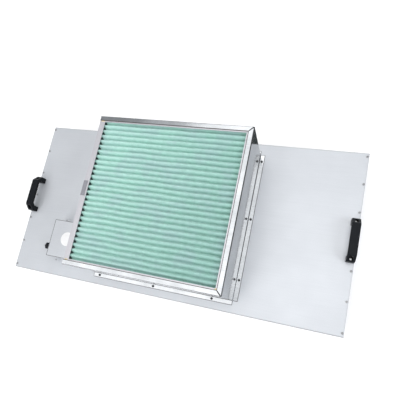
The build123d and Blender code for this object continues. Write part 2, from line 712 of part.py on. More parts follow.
ring_path = [
    (RING_EDGE, INLET_TOP + RING_SHEET),
    (THROAT_RADIUS, INLET_TOP + RING_SHEET),
    (THROAT_RADIUS, RING_BOTTOM),
]
with BuildPart() as inlet_ring:
    section = folded_section(Plane.XZ, ring_path, RING_SHEET, BELL_RADIUS - RING_SHEET, Side.LEFT)
    revolve(section, axis=Axis.Z)
    drill(ring_spots, INLET_TOP + RING_SHEET, RING_SCREW, RING_SHEET)
keep(inlet_ring.part, "inlet_ring")
group("inlet_screws", screw(RING_SCREW),
      at_height(ring_spots, INLET_TOP + RING_SHEET) + at_height(inlet_plate_spots, INLET_TOP))

# ---------------------------------------------------------------- motor bracket
bracket_half = OPENING_LENGTH / 2 + BRACKET_SEAT
leg_half = OPENING_LENGTH / 2 - 2 * BRACKET_SHEET
bracket_path = [
    (BRACKET_WIDTH / 2, BRACKET_TOP - BRACKET_LEG),
    (BRACKET_WIDTH / 2, BRACKET_TOP),
    (-BRACKET_WIDTH / 2, BRACKET_TOP),
    (-BRACKET_WIDTH / 2, BRACKET_TOP - BRACKET_LEG),
]
motor_spots = [
    (MOTOR_BOLT_CIRCLE / 2 * cos(angle), MOTOR_BOLT_CIRCLE / 2 * sin(angle))
    for angle in [2 * pi * (index + 0.5) / MOTOR_BOLT_COUNT for index in range(MOTOR_BOLT_COUNT)]
]
with BuildPart() as motor_bracket:
    section = folded_section(Plane.YZ, bracket_path, BRACKET_SHEET, BEND)
    extrude(section, amount=bracket_half, both=True)
    for end in (-1, 1):
        with Locations((end * bracket_half, 0, DECK)):
            Box(2 * (bracket_half - leg_half), 2 * BRACKET_WIDTH, 2 * BRACKET_LEG,
                align=(Align.CENTER, Align.CENTER, Align.MAX), mode=Mode.SUBTRACT)
    drill(bracket_spots, BRACKET_TOP, BRACKET_SCREW, BRACKET_SHEET)
    drill(motor_spots, BRACKET_TOP, MOTOR_SCREW, BRACKET_SHEET)
keep(motor_bracket.part, "motor_bracket")
group("bracket_screws", screw(BRACKET_SCREW), at_height(bracket_spots, BRACKET_TOP))

# ---------------------------------------------------------------- motor
def turned(*outlines):
    """Piece turned about Z from closed outlines of (radius, height) points."""
    with BuildPart() as piece:
        for outline in outlines:
            with BuildSketch(Plane.XZ):
                Polygon(*outline, align=None)
            revolve(axis=Axis.Z)
    return piece


def tube_outline(inner, outer, bottom, top):
    return [(inner, bottom), (outer, bottom), (outer, top), (inner, top)]


shaft_pocket = BEARING_BORE / 2 + TUBE_SHOULDER
shoulder = BEARING_RADIUS - TUBE_SHOULDER
low_seat = LOW_BEARING + BEARING_DEPTH
flange_body = turned([
    (0, BRACKET_TOP), (FLANGE_RADIUS, BRACKET_TOP), (FLANGE_RADIUS, MOTOR_TOP),
    (TUBE_RADIUS, MOTOR_TOP), (TUBE_RADIUS, TUBE_TOP), (BEARING_RADIUS, TUBE_TOP),
    (BEARING_RADIUS, HIGH_BEARING), (shoulder, HIGH_BEARING), (shoulder, low_seat),
    (BEARING_RADIUS, low_seat), (BEARING_RADIUS, LOW_BEARING), (shaft_pocket, LOW_BEARING),
    (shaft_pocket, MOTOR_TOP - FLANGE_DEPTH / 2), (0, MOTOR_TOP - FLANGE_DEPTH / 2),
])
with BuildPart() as motor_flange:
    add(flange_body.part)
    for spot in at_height(motor_spots, BRACKET_TOP - 1):
        with Locations(Plane(origin=spot, z_dir=(0, 0, -1)).location):
            Hole(MOTOR_SCREW.shank + HOLE_FIT, depth=MOTOR_SCREW.length - BRACKET_SHEET + 2)
keep(motor_flange.part, "motor_flange")
motor_bolt_places = [
    Plane(origin=(x, y, DECK), z_dir=(0, 0, -1)).location for x, y in motor_spots
]
group("motor_bolts", screw(MOTOR_SCREW), motor_bolt_places)


def bearing(label, bottom):
    """Shielded ball bearing with a groove on each face between its two rings."""
    middle = (BEARING_BORE / 2 + SHAFT_FIT + BEARING_RADIUS) / 2
    half_shield = (BEARING_RADIUS - BEARING_BORE / 2) / 4
    top = bottom + BEARING_DEPTH
    bore = BEARING_BORE / 2 + SHAFT_FIT
    piece = turned([
        (bore, bottom), (middle - half_shield, bottom),
        (middle - half_shield, bottom + BEARING_GROOVE),
        (middle + half_shield, bottom + BEARING_GROOVE), (middle + half_shield, bottom),
        (BEARING_RADIUS, bottom), (BEARING_RADIUS, top), (middle + half_shield, top),
        (middle + half_shield, top - BEARING_GROOVE),
        (middle - half_shield, top - BEARING_GROOVE), (middle - half_shield, top), (bore, top),
    ])
    keep(piece.part, label)


bearing("motor_bearing_lower", LOW_BEARING)
bearing("motor_bearing_upper", HIGH_BEARING)

stator_bottom = MOTOR_TOP + STATOR_RISE
stator_top = stator_bottom + STATOR_DEPTH
stator_core = turned(tube_outline(TUBE_RADIUS, STATOR_RADIUS, stator_bottom, stator_top))
keep(stator_core.part, "stator_core")
coil_outer = STATOR_RADIUS - COIL_INSET
coil_inner = coil_outer - COIL_WIDTH
stator_windings = turned(
    tube_outline(coil_inner, coil_outer, stator_bottom - COIL_DEPTH, stator_bottom),
    tube_outline(coil_inner, coil_outer, stator_top, stator_top + COIL_DEPTH),
)
keep(stator_windings.part, "stator_windings")

shaft_radius = BEARING_BORE / 2
motor_shaft = turned([
    (0, LOW_BEARING), (shaft_radius, LOW_BEARING), (shaft_radius, ROTOR_CROWN), (0, ROTOR_CROWN),
])
keep(motor_shaft.part, "motor_shaft")

rim_radius = ROTOR_RADIUS + ROTOR_RIM
impeller_screw_spots = [
    (IMPELLER_SCREW_CIRCLE / 2 * cos(angle), IMPELLER_SCREW_CIRCLE / 2 * sin(angle))
    for angle in [2 * pi * index / IMPELLER_SCREW_COUNT for index in range(IMPELLER_SCREW_COUNT)]
]
rotor_body = turned([
    (ROTOR_INSIDE, ROTOR_BOTTOM), (rim_radius, ROTOR_BOTTOM), (rim_radius, PLATE_BOTTOM),
    (ROTOR_RADIUS, PLATE_BOTTOM), (ROTOR_RADIUS, ROTOR_CROWN), (shaft_radius, ROTOR_CROWN),
    (shaft_radius, BOSS_BOTTOM), (BOSS_RADIUS, BOSS_BOTTOM), (BOSS_RADIUS, ROTOR_UNDER),
    (ROTOR_INSIDE, ROTOR_UNDER),
])
with BuildPart() as rotor_cup:
    add(rotor_body.part)
    crown_edges = rotor_cup.edges().filter_by(GeomType.CIRCLE).group_by(Axis.Z)[-1]
    fillet(crown_edges.sort_by(SortBy.RADIUS)[-1], ROTOR_WALL / 2)
    drill(impeller_screw_spots, PLATE_BOTTOM, IMPELLER_SCREW, ROTOR_RIM_DEPTH)
keep(rotor_cup.part, "rotor_cup")

# ---------------------------------------------------------------- impeller
with BuildPart() as impeller_back_plate:
    with BuildSketch(Plane.XY.offset(PLATE_BOTTOM)):
        Circle(IMPELLER_RADIUS)
        Circle(ROTOR_RADIUS + FIT, mode=Mode.SUBTRACT)
    extrude(amount=IMPELLER_SHEET)
    drill(impeller_screw_spots, BLADE_BOTTOM, IMPELLER_SCREW, IMPELLER_SHEET)
keep(impeller_back_plate.part, "impeller_back_plate")
group("impeller_screws", screw(IMPELLER_SCREW), at_height(impeller_screw_spots, BLADE_BOTTOM))

shroud_rise = (IMPELLER_RADIUS - EYE_RADIUS) * tan(radians(SHROUD_SLOPE))
shroud_path = [
    (IMPELLER_RADIUS, SHROUD_RIM),
    (EYE_RADIUS, SHROUD_RIM + shroud_rise),
    (EYE_RADIUS, EYE_TOP),
]
with BuildPart() as impeller_shroud:
    section = folded_section(Plane.XZ, shroud_path, IMPELLER_SHEET, SHROUD_BEND, Side.RIGHT)
    revolve(section, axis=Axis.Z)
keep(impeller_shroud.part, "impeller_shroud")

sweep_angle = radians(BLADE_SWEEP)
inner_edge = Vector(BLADE_INNER, 0)
outer_edge = Vector(IMPELLER_RADIUS * cos(sweep_angle), -IMPELLER_RADIUS * sin(sweep_angle))
chord = outer_edge - inner_edge
bow = (inner_edge + outer_edge) * 0.5 + Vector(-chord.Y, chord.X).normalized() * BLADE_BOW
with BuildPart() as blade:
    with BuildSketch(Plane.XY.offset(BLADE_BOTTOM)):
        with BuildLine():
            ThreePointArc(inner_edge, bow, outer_edge)
            offset(amount=BLADE_SHEET, side=Side.LEFT)
        make_face()
    extrude(amount=EYE_TOP - BLADE_BOTTOM)
    with BuildSketch(Plane.XZ):
        with BuildLine():
            FilletPolyline(*shroud_path, radius=SHROUD_BEND + IMPELLER_SHEET)
            Polyline(shroud_path[-1], (EYE_RADIUS, 2 * EYE_TOP),
                     (2 * IMPELLER_RADIUS, 2 * EYE_TOP), (2 * IMPELLER_RADIUS, SHROUD_RIM),
                     shroud_path[0])
        make_face()
    revolve(axis=Axis.Z, mode=Mode.SUBTRACT)
blade_places = PolarLocations(0, BLADE_COUNT).locations
group("impeller_blades", blade.part, blade_places)

# ---------------------------------------------------------------- motor lead
with BuildPart() as motor_lead:
    with BuildLine() as route:
        FilletPolyline(*lead_points, radius=bend_radii(lead_points))
    with BuildSketch(Plane(origin=route.line @ 0, z_dir=route.line % 0)):
        Circle(LEAD_RADIUS)
    sweep()
keep(motor_lead.part, "motor_lead")
lead_length = sum(edge.length for edge in route.edges())
tube_volume = pi * LEAD_RADIUS ** 2 * lead_length
print(f"lead volume {motor_lead.part.volume:.1f}, section times length {tube_volume:.1f}")

lead_bore = LEAD_RADIUS + LEAD_FIT


def lead_clip(before, after):
    """Clip round the middle of one run of the lead, its foot on the motor bracket."""
    run = Vector(*after) - Vector(*before)
    middle = (Vector(*after) + Vector(*before)) * 0.5
    level_run = Vector(run.X, run.Y, 0).normalized()
    across = Vector(-level_run.Y, level_run.X, 0)
    section_plane = Plane(origin=middle, x_dir=across, z_dir=level_run)
    foot = BRACKET_TOP - middle.Z
    outer = lead_bore + CLIP_BAND
    with BuildPart() as clip:
        with BuildSketch(section_plane):
            Circle(outer)
            with Locations((0, foot)):
                Rectangle(2 * outer, -foot, align=(Align.CENTER, Align.MIN))
                Rectangle(lead_bore + CLIP_FOOT, CLIP_BAND, align=(Align.MIN, Align.MIN))
            Circle(lead_bore, mode=Mode.SUBTRACT)
            with Locations((0, foot)):
                Rectangle(4 * CLIP_FOOT, CLIP_FOOT, align=(Align.CENTER, Align.MAX),
                          mode=Mode.SUBTRACT)
        extrude(amount=CLIP_RUN / 2, both=True)
    return clip.part


with BuildPart() as lead_clips:
    for run_start in (0, 1):
        add(lead_clip(lead_points[run_start], lead_points[run_start + 1]))
keep(lead_clips.part, "lead_clips")


def grommet(face_x, sheet):
    """Rubber grommet in an upright sheet whose outer face is at face_x, facing -X."""
    centre = lead_crossing(face_x)
    outer = lead_bore + GROMMET_WALL
    with BuildPart() as ring:
        with BuildSketch(Plane(origin=(face_x, *centre), z_dir=(1, 0, 0))):
            Circle(outer)
        extrude(amount=sheet)
        for start, way in ((face_x, -1), (face_x + sheet, 1)):
            with BuildSketch(Plane(origin=(start, *centre), z_dir=(way, 0, 0))):
                Circle(outer + GROMMET_LIP)
            extrude(amount=GROMMET_LIP)
        with BuildSketch(Plane(origin=(face_x - 2 * GROMMET_LIP, *centre), z_dir=(1, 0, 0))):
            Circle(lead_bore)
        extrude(amount=4 * GROMMET_LIP + sheet, mode=Mode.SUBTRACT)
    return ring.part


with BuildPart() as lead_grommets:
    add(grommet(-DUCT_X, DUCT_SHEET))
    add(grommet(BOX_RIGHT - BOX_SHEET, BOX_SHEET))
keep(lead_grommets.part, "lead_grommets")

# ---------------------------------------------------------------- handles
half_handle = HANDLE_LENGTH / 2
inner_foot = half_handle - HANDLE_FOOT
grip_under = DECK + HANDLE_HEIGHT - HANDLE_GRIP
shoulder_z = DECK + HANDLE_SHOULDER
crown_y = half_handle - HANDLE_CUT
handle_profile = [
    (-half_handle, DECK), (-half_handle, shoulder_z), (-crown_y, DECK + HANDLE_HEIGHT),
    (crown_y, DECK + HANDLE_HEIGHT), (half_handle, shoulder_z), (half_handle, DECK),
    (inner_foot, DECK), (inner_foot, grip_under - HANDLE_INNER_CUT),
    (inner_foot - HANDLE_INNER_CUT, grip_under), (-inner_foot + HANDLE_INNER_CUT, grip_under),
    (-inner_foot, grip_under - HANDLE_INNER_CUT), (-inner_foot, DECK),
]
with BuildPart() as handle:
    with BuildSketch(Plane.YZ):
        Polygon(*handle_profile, align=None)
    extrude(amount=HANDLE_WIDTH / 2, both=True)
    outline_edges = [
        edge for edge in handle.edges()
        if abs(edge.tangent_at(0.5).X) < 0.5 and edge.center().Z > DECK + 1
    ]
    fillet(outline_edges, HANDLE_EDGE)
    for end in (-1, 1):
        with Locations((0, end * HANDLE_SCREW_Y, DECK + HANDLE_HEIGHT)):
            Hole(HANDLE_COUNTERBORE / 2, depth=HANDLE_HEIGHT - HANDLE_SEAT)
            Hole(M5_SCREW.shank + HOLE_FIT, depth=2 * HANDLE_HEIGHT)
for side, name in ((-1, "left"), (1, "right")):
    with BuildPart() as placed_handle:
        with Locations((side * HANDLE_X, 0, 0)):
            add(handle.part)
    keep(placed_handle.part, "handle_" + name)
group("handle_screws", screw(M5_SCREW), at_height(handle_screw_spots, DECK + HANDLE_SEAT))
m5_nut = nut(NUT_ACROSS, NUT_DEPTH, BRACKET_SCREW.shank + HOLE_FIT)
group("m5_nuts", m5_nut,
      at_height(handle_screw_spots, DECK_UNDER - HOUSING_SHEET)
      + at_height(bracket_spots, DECK_UNDER))

# ---------------------------------------------------------------- control box
box_centre = (BOX_X, BOX_Y)
lid_screw_z = BOX_TOP - LID_RIM / 2
lid_screw_x = [BOX_X + side * LID_SCREW_SPACING / 2 for side in (-1, 1)]
lid_out = BOX_SHEET + FIT


def lid_screw_places(out):
    places = []
    for x in lid_screw_x:
        for y, sign in ((BOX_FRONT, -1), (BOX_BACK, 1)):
            origin = (x, y + sign * out, lid_screw_z)
            places.append(Plane(origin=origin, z_dir=(0, sign, 0)).location)
    return places


gland_mouth = Plane(origin=(BOX_LEFT - 2, GLAND_Y, GLAND_Z), z_dir=(-1, 0, 0))
with BuildPart() as control_box_body:
    with Locations((*box_centre, DECK)):
        Box(BOX_LENGTH, BOX_WIDTH, BOX_HEIGHT - BOX_SHEET,
            align=(Align.CENTER, Align.CENTER, Align.MIN))
    with Locations((*box_centre, DECK + BOX_SHEET)):
        Box(BOX_LENGTH, BOX_WIDTH - 2 * BOX_SHEET, BOX_HEIGHT,
            align=(Align.CENTER, Align.CENTER, Align.MIN), mode=Mode.SUBTRACT)
    with Locations(*at_height(box_screw_spots, DECK)):
        Box(EAR_WIDTH, EAR_REACH, BOX_SHEET, align=(Align.CENTER, Align.CENTER, Align.MIN))
    drill(box_screw_spots, DECK + BOX_SHEET, SMALL_SCREW, BOX_SHEET)
    with Locations(*lid_screw_places(1)):
        Hole(SMALL_SCREW.shank + HOLE_FIT, depth=BOX_SHEET + 2)
keep(control_box_body.part, "control_box_body")

# The two ends are flat plates welded between the folded front and back.
with BuildPart() as control_box_ends:
    for end_face in (BOX_LEFT, BOX_RIGHT - BOX_SHEET):
        with Locations((end_face, BOX_Y, DECK + BOX_SHEET)):
            Box(BOX_SHEET, BOX_WIDTH - 2 * BOX_SHEET, BODY_TOP - DECK - BOX_SHEET,
                align=(Align.MIN, Align.CENTER, Align.MIN))
    with Locations(gland_mouth.location):
        Hole(GLAND_THREAD / 2 + HOLE_FIT, depth=BOX_SHEET + 4)
    drill_lead(BOX_RIGHT - BOX_SHEET)
keep(control_box_ends.part, "control_box_ends")

with BuildPart() as control_box_lid:
    with Locations((*box_centre, BOX_TOP - LID_RIM)):
        Box(BOX_LENGTH + 2 * lid_out, BOX_WIDTH + 2 * lid_out, LID_RIM,
            align=(Align.CENTER, Align.CENTER, Align.MIN))
    fillet(control_box_lid.edges().filter_by(Axis.Z), lid_out)
    with Locations((*box_centre, BODY_TOP)):
        Box(BOX_LENGTH + 2 * FIT, BOX_WIDTH + 2 * FIT, LID_RIM,
            align=(Align.CENTER, Align.CENTER, Align.MAX), mode=Mode.SUBTRACT)
    with Locations(*lid_screw_places(lid_out + 1)):
        Hole(SMALL_SCREW.shank + HOLE_FIT, depth=BOX_SHEET + 2)
keep(control_box_lid.part, "control_box_lid")
group("control_lid_screws", screw(SMALL_SCREW), lid_screw_places(lid_out))
group("control_box_screws", screw(SMALL_SCREW), at_height(box_screw_spots, DECK + BOX_SHEET))

block_floor = DECK + BOX_SHEET
block_y = lead_points[-1][1]
way_spots = [
    (block_x - BLOCK_WIDTH / 2, block_y + (way - (BLOCK_WAYS - 1) / 2) * BLOCK_STEP)
    for way in range(BLOCK_WAYS)
]
with BuildPart() as terminal_block:
    with Locations((block_x - BLOCK_WIDTH / 2, block_y, block_floor)):
        Box(BLOCK_WIDTH, BLOCK_LENGTH, BLOCK_HEIGHT,
            align=(Align.CENTER, Align.CENTER, Align.MIN))
    with Locations(*at_height(way_spots, block_floor + BLOCK_HEIGHT)):
        Hole(BLOCK_STEP / 4, depth=BLOCK_HEIGHT / 4)
keep(terminal_block.part, "terminal_block")

capacitor_x = BOX_LEFT + BOX_SHEET + LOCKNUT_DEPTH + CAPACITOR_WIDTH + 2 * GLAND_HEX_DEPTH
capacitor_y = BOX_BACK - BOX_SHEET - CAPACITOR_LENGTH
with BuildPart() as run_capacitor:
    with Locations((capacitor_x, capacitor_y, block_floor)):
        Box(CAPACITOR_WIDTH, CAPACITOR_LENGTH, CAPACITOR_HEIGHT,
            align=(Align.CENTER, Align.CENTER, Align.MIN))
    fillet(run_capacitor.edges().filter_by(Axis.Z), CAPACITOR_EDGE)
keep(run_capacitor.part, "run_capacitor")

# Cable gland on the left wall of the control box
wall_face = Plane(origin=(BOX_LEFT, GLAND_Y, GLAND_Z), x_dir=(0, 0, 1), z_dir=(-1, 0, 0))
inside_face = Plane(origin=(BOX_LEFT + BOX_SHEET, GLAND_Y, GLAND_Z), z_dir=(1, 0, 0))
with BuildPart() as gland_body:
    with BuildSketch(wall_face):
        RegularPolygon(GLAND_HEX / 2, 6, major_radius=False)
    extrude(amount=GLAND_HEX_DEPTH)
    with BuildSketch(wall_face):
        Circle(GLAND_THREAD / 2)
    extrude(amount=GLAND_HEX_DEPTH + GLAND_CAP / 2)
    with BuildSketch(wall_face):
        Circle(GLAND_THREAD / 2)
    extrude(amount=-(BOX_SHEET + LOCKNUT_DEPTH))
    with BuildSketch(wall_face.offset(-2 * LOCKNUT_DEPTH)):
        Circle(GLAND_BORE / 2)
    extrude(amount=4 * GLAND_CAP, mode=Mode.SUBTRACT)
keep(gland_body.part, "gland_body")
with BuildPart() as gland_cap:
    with BuildSketch(wall_face.offset(GLAND_HEX_DEPTH)):
        RegularPolygon(GLAND_HEX / 2, 6, major_radius=False)
    extrude(amount=GLAND_CAP)
    chamfer(gland_cap.faces().sort_by(Axis.X)[0].edges(), GLAND_CAP_DOME / 2)
    with BuildSketch(wall_face.offset(GLAND_HEX_DEPTH)):
        Circle(GLAND_THREAD / 2 + HOLE_FIT)
    extrude(amount=GLAND_CAP / 2, mode=Mode.SUBTRACT)
    with BuildSketch(wall_face):
        Circle(GLAND_BORE / 2)
    extrude(amount=4 * GLAND_CAP, mode=Mode.SUBTRACT)
keep(gland_cap.part, "gland_cap")
with BuildPart() as gland_locknut:
    with BuildSketch(inside_face):
        RegularPolygon(GLAND_HEX / 2, 6, major_radius=False)
        Circle(GLAND_THREAD / 2 + HOLE_FIT, mode=Mode.SUBTRACT)
    extrude(amount=LOCKNUT_DEPTH)
keep(gland_locknut.part, "gland_locknut")

os.makedirs("parts", exist_ok=True)
for part in finished:
    export_step(part, f"parts/{part.label}.step")
radii = bend_radii(lead_points)
print("lead bend radii", [round(radius, 1) for radius in radii])
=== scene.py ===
# %% [markdown]
# # A fan filter unit, dressed in Blender
# The unit is a broad flat housing of coated sheet that sits in a clean-room ceiling. A square duct
# stands on it with a pleated green pre-filter in its mouth, a fan hangs inside, and a deep final
# filter closes the underside. The rigid frame is loaded first, and everything here is fitted to it.

# %% Load the frame
import json
from math import atan2, radians, tau

import bpy
from mathutils import Matrix, Quaternion, Vector


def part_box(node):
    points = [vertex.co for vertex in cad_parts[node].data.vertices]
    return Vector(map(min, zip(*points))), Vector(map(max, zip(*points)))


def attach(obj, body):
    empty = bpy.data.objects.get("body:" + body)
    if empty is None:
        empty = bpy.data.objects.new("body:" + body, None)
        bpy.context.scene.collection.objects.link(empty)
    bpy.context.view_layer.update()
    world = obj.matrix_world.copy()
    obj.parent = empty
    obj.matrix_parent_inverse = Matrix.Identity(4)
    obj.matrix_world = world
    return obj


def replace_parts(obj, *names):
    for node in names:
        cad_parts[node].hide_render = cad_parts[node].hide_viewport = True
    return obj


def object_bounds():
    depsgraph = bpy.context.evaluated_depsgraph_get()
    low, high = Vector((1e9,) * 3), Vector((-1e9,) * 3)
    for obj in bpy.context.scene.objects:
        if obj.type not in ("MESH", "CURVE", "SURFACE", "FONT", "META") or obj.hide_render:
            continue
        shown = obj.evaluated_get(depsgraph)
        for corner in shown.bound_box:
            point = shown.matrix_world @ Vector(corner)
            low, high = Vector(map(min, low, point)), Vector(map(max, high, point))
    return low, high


MM = 0.001              # a frame is in metres

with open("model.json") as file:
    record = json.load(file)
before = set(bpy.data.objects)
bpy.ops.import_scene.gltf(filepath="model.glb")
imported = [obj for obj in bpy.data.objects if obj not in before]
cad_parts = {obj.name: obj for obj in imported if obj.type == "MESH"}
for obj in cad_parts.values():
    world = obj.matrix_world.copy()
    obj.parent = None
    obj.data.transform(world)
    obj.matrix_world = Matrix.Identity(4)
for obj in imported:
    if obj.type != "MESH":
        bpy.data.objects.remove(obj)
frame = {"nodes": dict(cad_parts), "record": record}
cad_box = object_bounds()
nodes = frame["nodes"]

# %% [markdown]
# ## The camera
# The unit is seen from above and a little to its right, turned so that its long side runs down the
# picture. A camera is easiest to place by where it stands, where it looks and which way is up, so
# its three axes are written as rows of one matrix. The lens is shifted a little, as on a view
# camera, because the middle of the picture isn't quite where the lens points.

# %% Set up the camera
CAMERA_PLACE = Vector((0.4428, -0.2594, 1.2746))
CAMERA_RIGHT = Vector((0.9473, 0.2053, -0.2460))
CAMERA_UP = Vector((-0.1565, 0.9664, 0.2039))
LENS = 32.76
LENS_RISE = 0.10

camera_back = CAMERA_RIGHT.cross(CAMERA_UP).normalized()
camera_up = camera_back.cross(CAMERA_RIGHT).normalized()
turn = Matrix((CAMERA_RIGHT.normalized(), camera_up, camera_back)).transposed()
camera_data = bpy.data.cameras.new("camera")
camera_data.lens = LENS
camera_data.shift_y = LENS_RISE
camera = bpy.data.objects.new("camera", camera_data)
camera.matrix_world = Matrix.Translation(CAMERA_PLACE) @ turn.to_4x4()
bpy.context.scene.collection.objects.link(camera)
bpy.context.scene.camera = camera
print("camera looks along", [round(value, 3) for value in -camera_back])

# %% [markdown]
# ## Shader arithmetic
# A finish is built from nodes, and most of the nodes only do sums. Wrapping a socket in a small
# class lets those sums be written as ordinary Python: `grain * 0.2 + 0.4` adds its own Math nodes.
# Colours go through Mix nodes, because a Math node would turn them grey.

# %% A socket that can be added and multiplied
class Signal:
    """One output of a shader node, usable in Python sums."""

    def __init__(self, finish, socket):
        self.finish = finish
        self.socket = socket

    def sum(self, operation, first, second):
        return self.finish.node("ShaderNodeMath", {"operation": operation}, {0: first, 1: second})

    def __add__(self, other):
        return self.sum("ADD", self, other)

    def __radd__(self, other):
        return self.sum("ADD", other, self)

    def __sub__(self, other):
        return self.sum("SUBTRACT", self, other)

    def __rsub__(self, other):
        return self.sum("SUBTRACT", other, self)

    def __mul__(self, other):
        return self.sum("MULTIPLY", self, other)

    def __rmul__(self, other):
        return self.sum("MULTIPLY", other, self)

    def __gt__(self, other):
        return self.sum("GREATER_THAN", self, other)

    def __lt__(self, other):
        return self.sum("LESS_THAN", self, other)


print("sums on sockets: + - * > <")

# %% [markdown]
# ## A finish
# Each finish holds one material. Its patterns read Object coordinates, which are metres in the
# frame of the whole unit, so a grain keeps its real size on every piece that shares the finish.

# %% A material with its helpers
class Finish:
    """A material whose nodes are added by kind, settings and sockets."""

    def __init__(self, name):
        self.material = bpy.data.materials.new(name)
        self.material.use_nodes = True
        self.tree = self.material.node_tree
        self.shader = self.tree.nodes["Principled BSDF"]
        self.place = self.node("ShaderNodeTexCoord", output="Object")

    def connect(self, value, socket):
        if isinstance(value, Signal):
            self.tree.links.new(value.socket, socket)
        elif socket.type == "RGBA" and len(value) == 3:
            socket.default_value = (*value, 1.0)
        else:
            socket.default_value = value

    def node(self, kind, settings=None, sockets=None, output=0):
        made = self.tree.nodes.new(kind)
        for name, value in (settings or {}).items():
            if name == "stops":
                ramp = made.color_ramp
                while len(ramp.elements) < len(value):
                    ramp.elements.new(1.0)
                for element, (position, level) in zip(ramp.elements, value):
                    element.position = position
                    element.color = (level, level, level, 1.0)
            else:
                setattr(made, name, value)
        for name, value in (sockets or {}).items():
            self.connect(value, made.inputs[name])
        return Signal(self, made.outputs[output])

    def stretched(self, scale, turned=(0.0, 0.0, 0.0)):
        return self.node("ShaderNodeMapping", {},
                         {"Vector": self.place, "Scale": scale, "Rotation": turned})

    def noise(self, scale, detail=3.0, roughness=0.55, at=None):
        return self.node("ShaderNodeTexNoise", {}, {"Vector": at or self.place, "Scale": scale,
                                                    "Detail": detail, "Roughness": roughness})

    def cells(self, scale, output="Distance"):
        return self.node("ShaderNodeTexVoronoi", {}, {"Vector": self.place, "Scale": scale}, output)

    def steps(self, value, *stops):
        return self.node("ShaderNodeValToRGB", {"stops": stops}, {"Fac": value})

    def blend(self, amount, first, second):
        return self.node("ShaderNodeMix", {"data_type": "RGBA"},
                         {0: amount, 6: first, 7: second}, 2)

    def axis(self, letter):
        return self.node("ShaderNodeSeparateXYZ", {}, {0: self.place}, letter)

    def fold(self):
        """1 where the sheet turns from level to upright, 0 on its flats."""
        facing = self.node("ShaderNodeNewGeometry", output="Normal")
        upward = self.node("ShaderNodeSeparateXYZ", {}, {0: facing}, "Z")
        tilt = self.node("ShaderNodeMath", {"operation": "ABSOLUTE"}, {0: upward})
        return (tilt > 0.12) * (tilt < 0.97)

    def bump(self, height, depth, strength=1.0):
        return self.node("ShaderNodeBump", {},
                         {"Height": height, "Distance": depth, "Strength": strength})

    def set(self, **values):
        for name, value in values.items():
            self.connect(value, self.shader.inputs[name.replace("_", " ")])


FINISHES = {}
print("a finish has", [name for name in vars(Finish) if not name.startswith("_")])

# %% [markdown]
# ## Coated sheet
# The housing, its end panels and the wiring box are steel sheet with a thin pale coating. Close to,
# it has a fine mottle of about a millimetre, faint rolling streaks along the sheet and a soft gloss.
# Two noises of different size make the mottle, and one stretched along X makes the streaks. A
# narrow band round the rim of the top sheet and every fold are painted darker, as painted shade.

# %% Coated sheet finish
DECK_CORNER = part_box("housing_shell")[1]
RIM_BAND = 4.5 * MM
RIM_SHADE = 0.17


def inward_of_rim(finish, letter, rim):
    """0 at the rim of the top sheet and 1 a band's width inside it, along one axis."""
    reach = finish.node("ShaderNodeMath", {"operation": "ABSOLUTE"}, {0: finish.axis(letter)})
    inward = (rim - reach) * (1 / RIM_BAND)
    return finish.node("ShaderNodeClamp", {}, {"Value": inward})


def coated_sheet():
    finish = Finish("coated_sheet")
    inside = inward_of_rim(finish, "X", DECK_CORNER.x) * inward_of_rim(finish, "Y", DECK_CORNER.y)
    on_top = finish.axis("Z") > DECK_CORNER.z - MM
    mottle = finish.noise(520.0, 4.0, 0.65)
    clouds = finish.noise(9.0, 2.0)
    streaks = finish.noise(60.0, 3.0, 0.6, finish.stretched((0.12, 4.0, 4.0)))
    tone = mottle * 0.5 + clouds * 0.3 + streaks * 0.2
    level = finish.steps(tone, (0.34, 0.0), (0.66, 1.0))
    flat = finish.blend(level, (0.52, 0.54, 0.57), (0.61, 0.63, 0.66))
    # painted shade: a band inside the top sheet's rim is darkened
    painted_rim_shade = on_top * (1 - inside) * RIM_SHADE
    finish.set(
        # painted shade: the folds and the rim band are blended towards a near-black grey
        Base_Color=finish.blend(finish.fold() * 0.75 + painted_rim_shade, flat, (0.10, 0.10, 0.11)),
        Metallic=0.22,
        Roughness=mottle * 0.18 + streaks * 0.10 + 0.22,
        Normal=finish.bump(mottle, 0.00006, 0.5),
    )
    return finish


FINISHES["coated_sheet"] = coated_sheet()
print("coated sheet ready")

# %% [markdown]
# ## Bright sheet
# The duct walls are bare bright sheet, folded with the mill finish left on. They act as a dull
# mirror drawn out in one direction, because rolling leaves scratches along the sheet. The scratches
# are a noise squeezed across the rolling direction, used for tone, roughness and a shallow bump.
# The top lips are painted darker and the flanges at the foot lighter, as painted light that evens
# out how the lamps and the walls leave them, and the folds are painted darker, as painted shade.
# Height tells the lips from the flanges, and the direction of the surface tells the folds from the
# flats.

# %% Bright sheet finish
FLANGE_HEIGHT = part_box("duct_wall_right")[0].z + 3 * MM
LIP_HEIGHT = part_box("duct_wall_right")[1].z - 1.5 * MM
PAINTED_LIGHT_STEP = 0.12


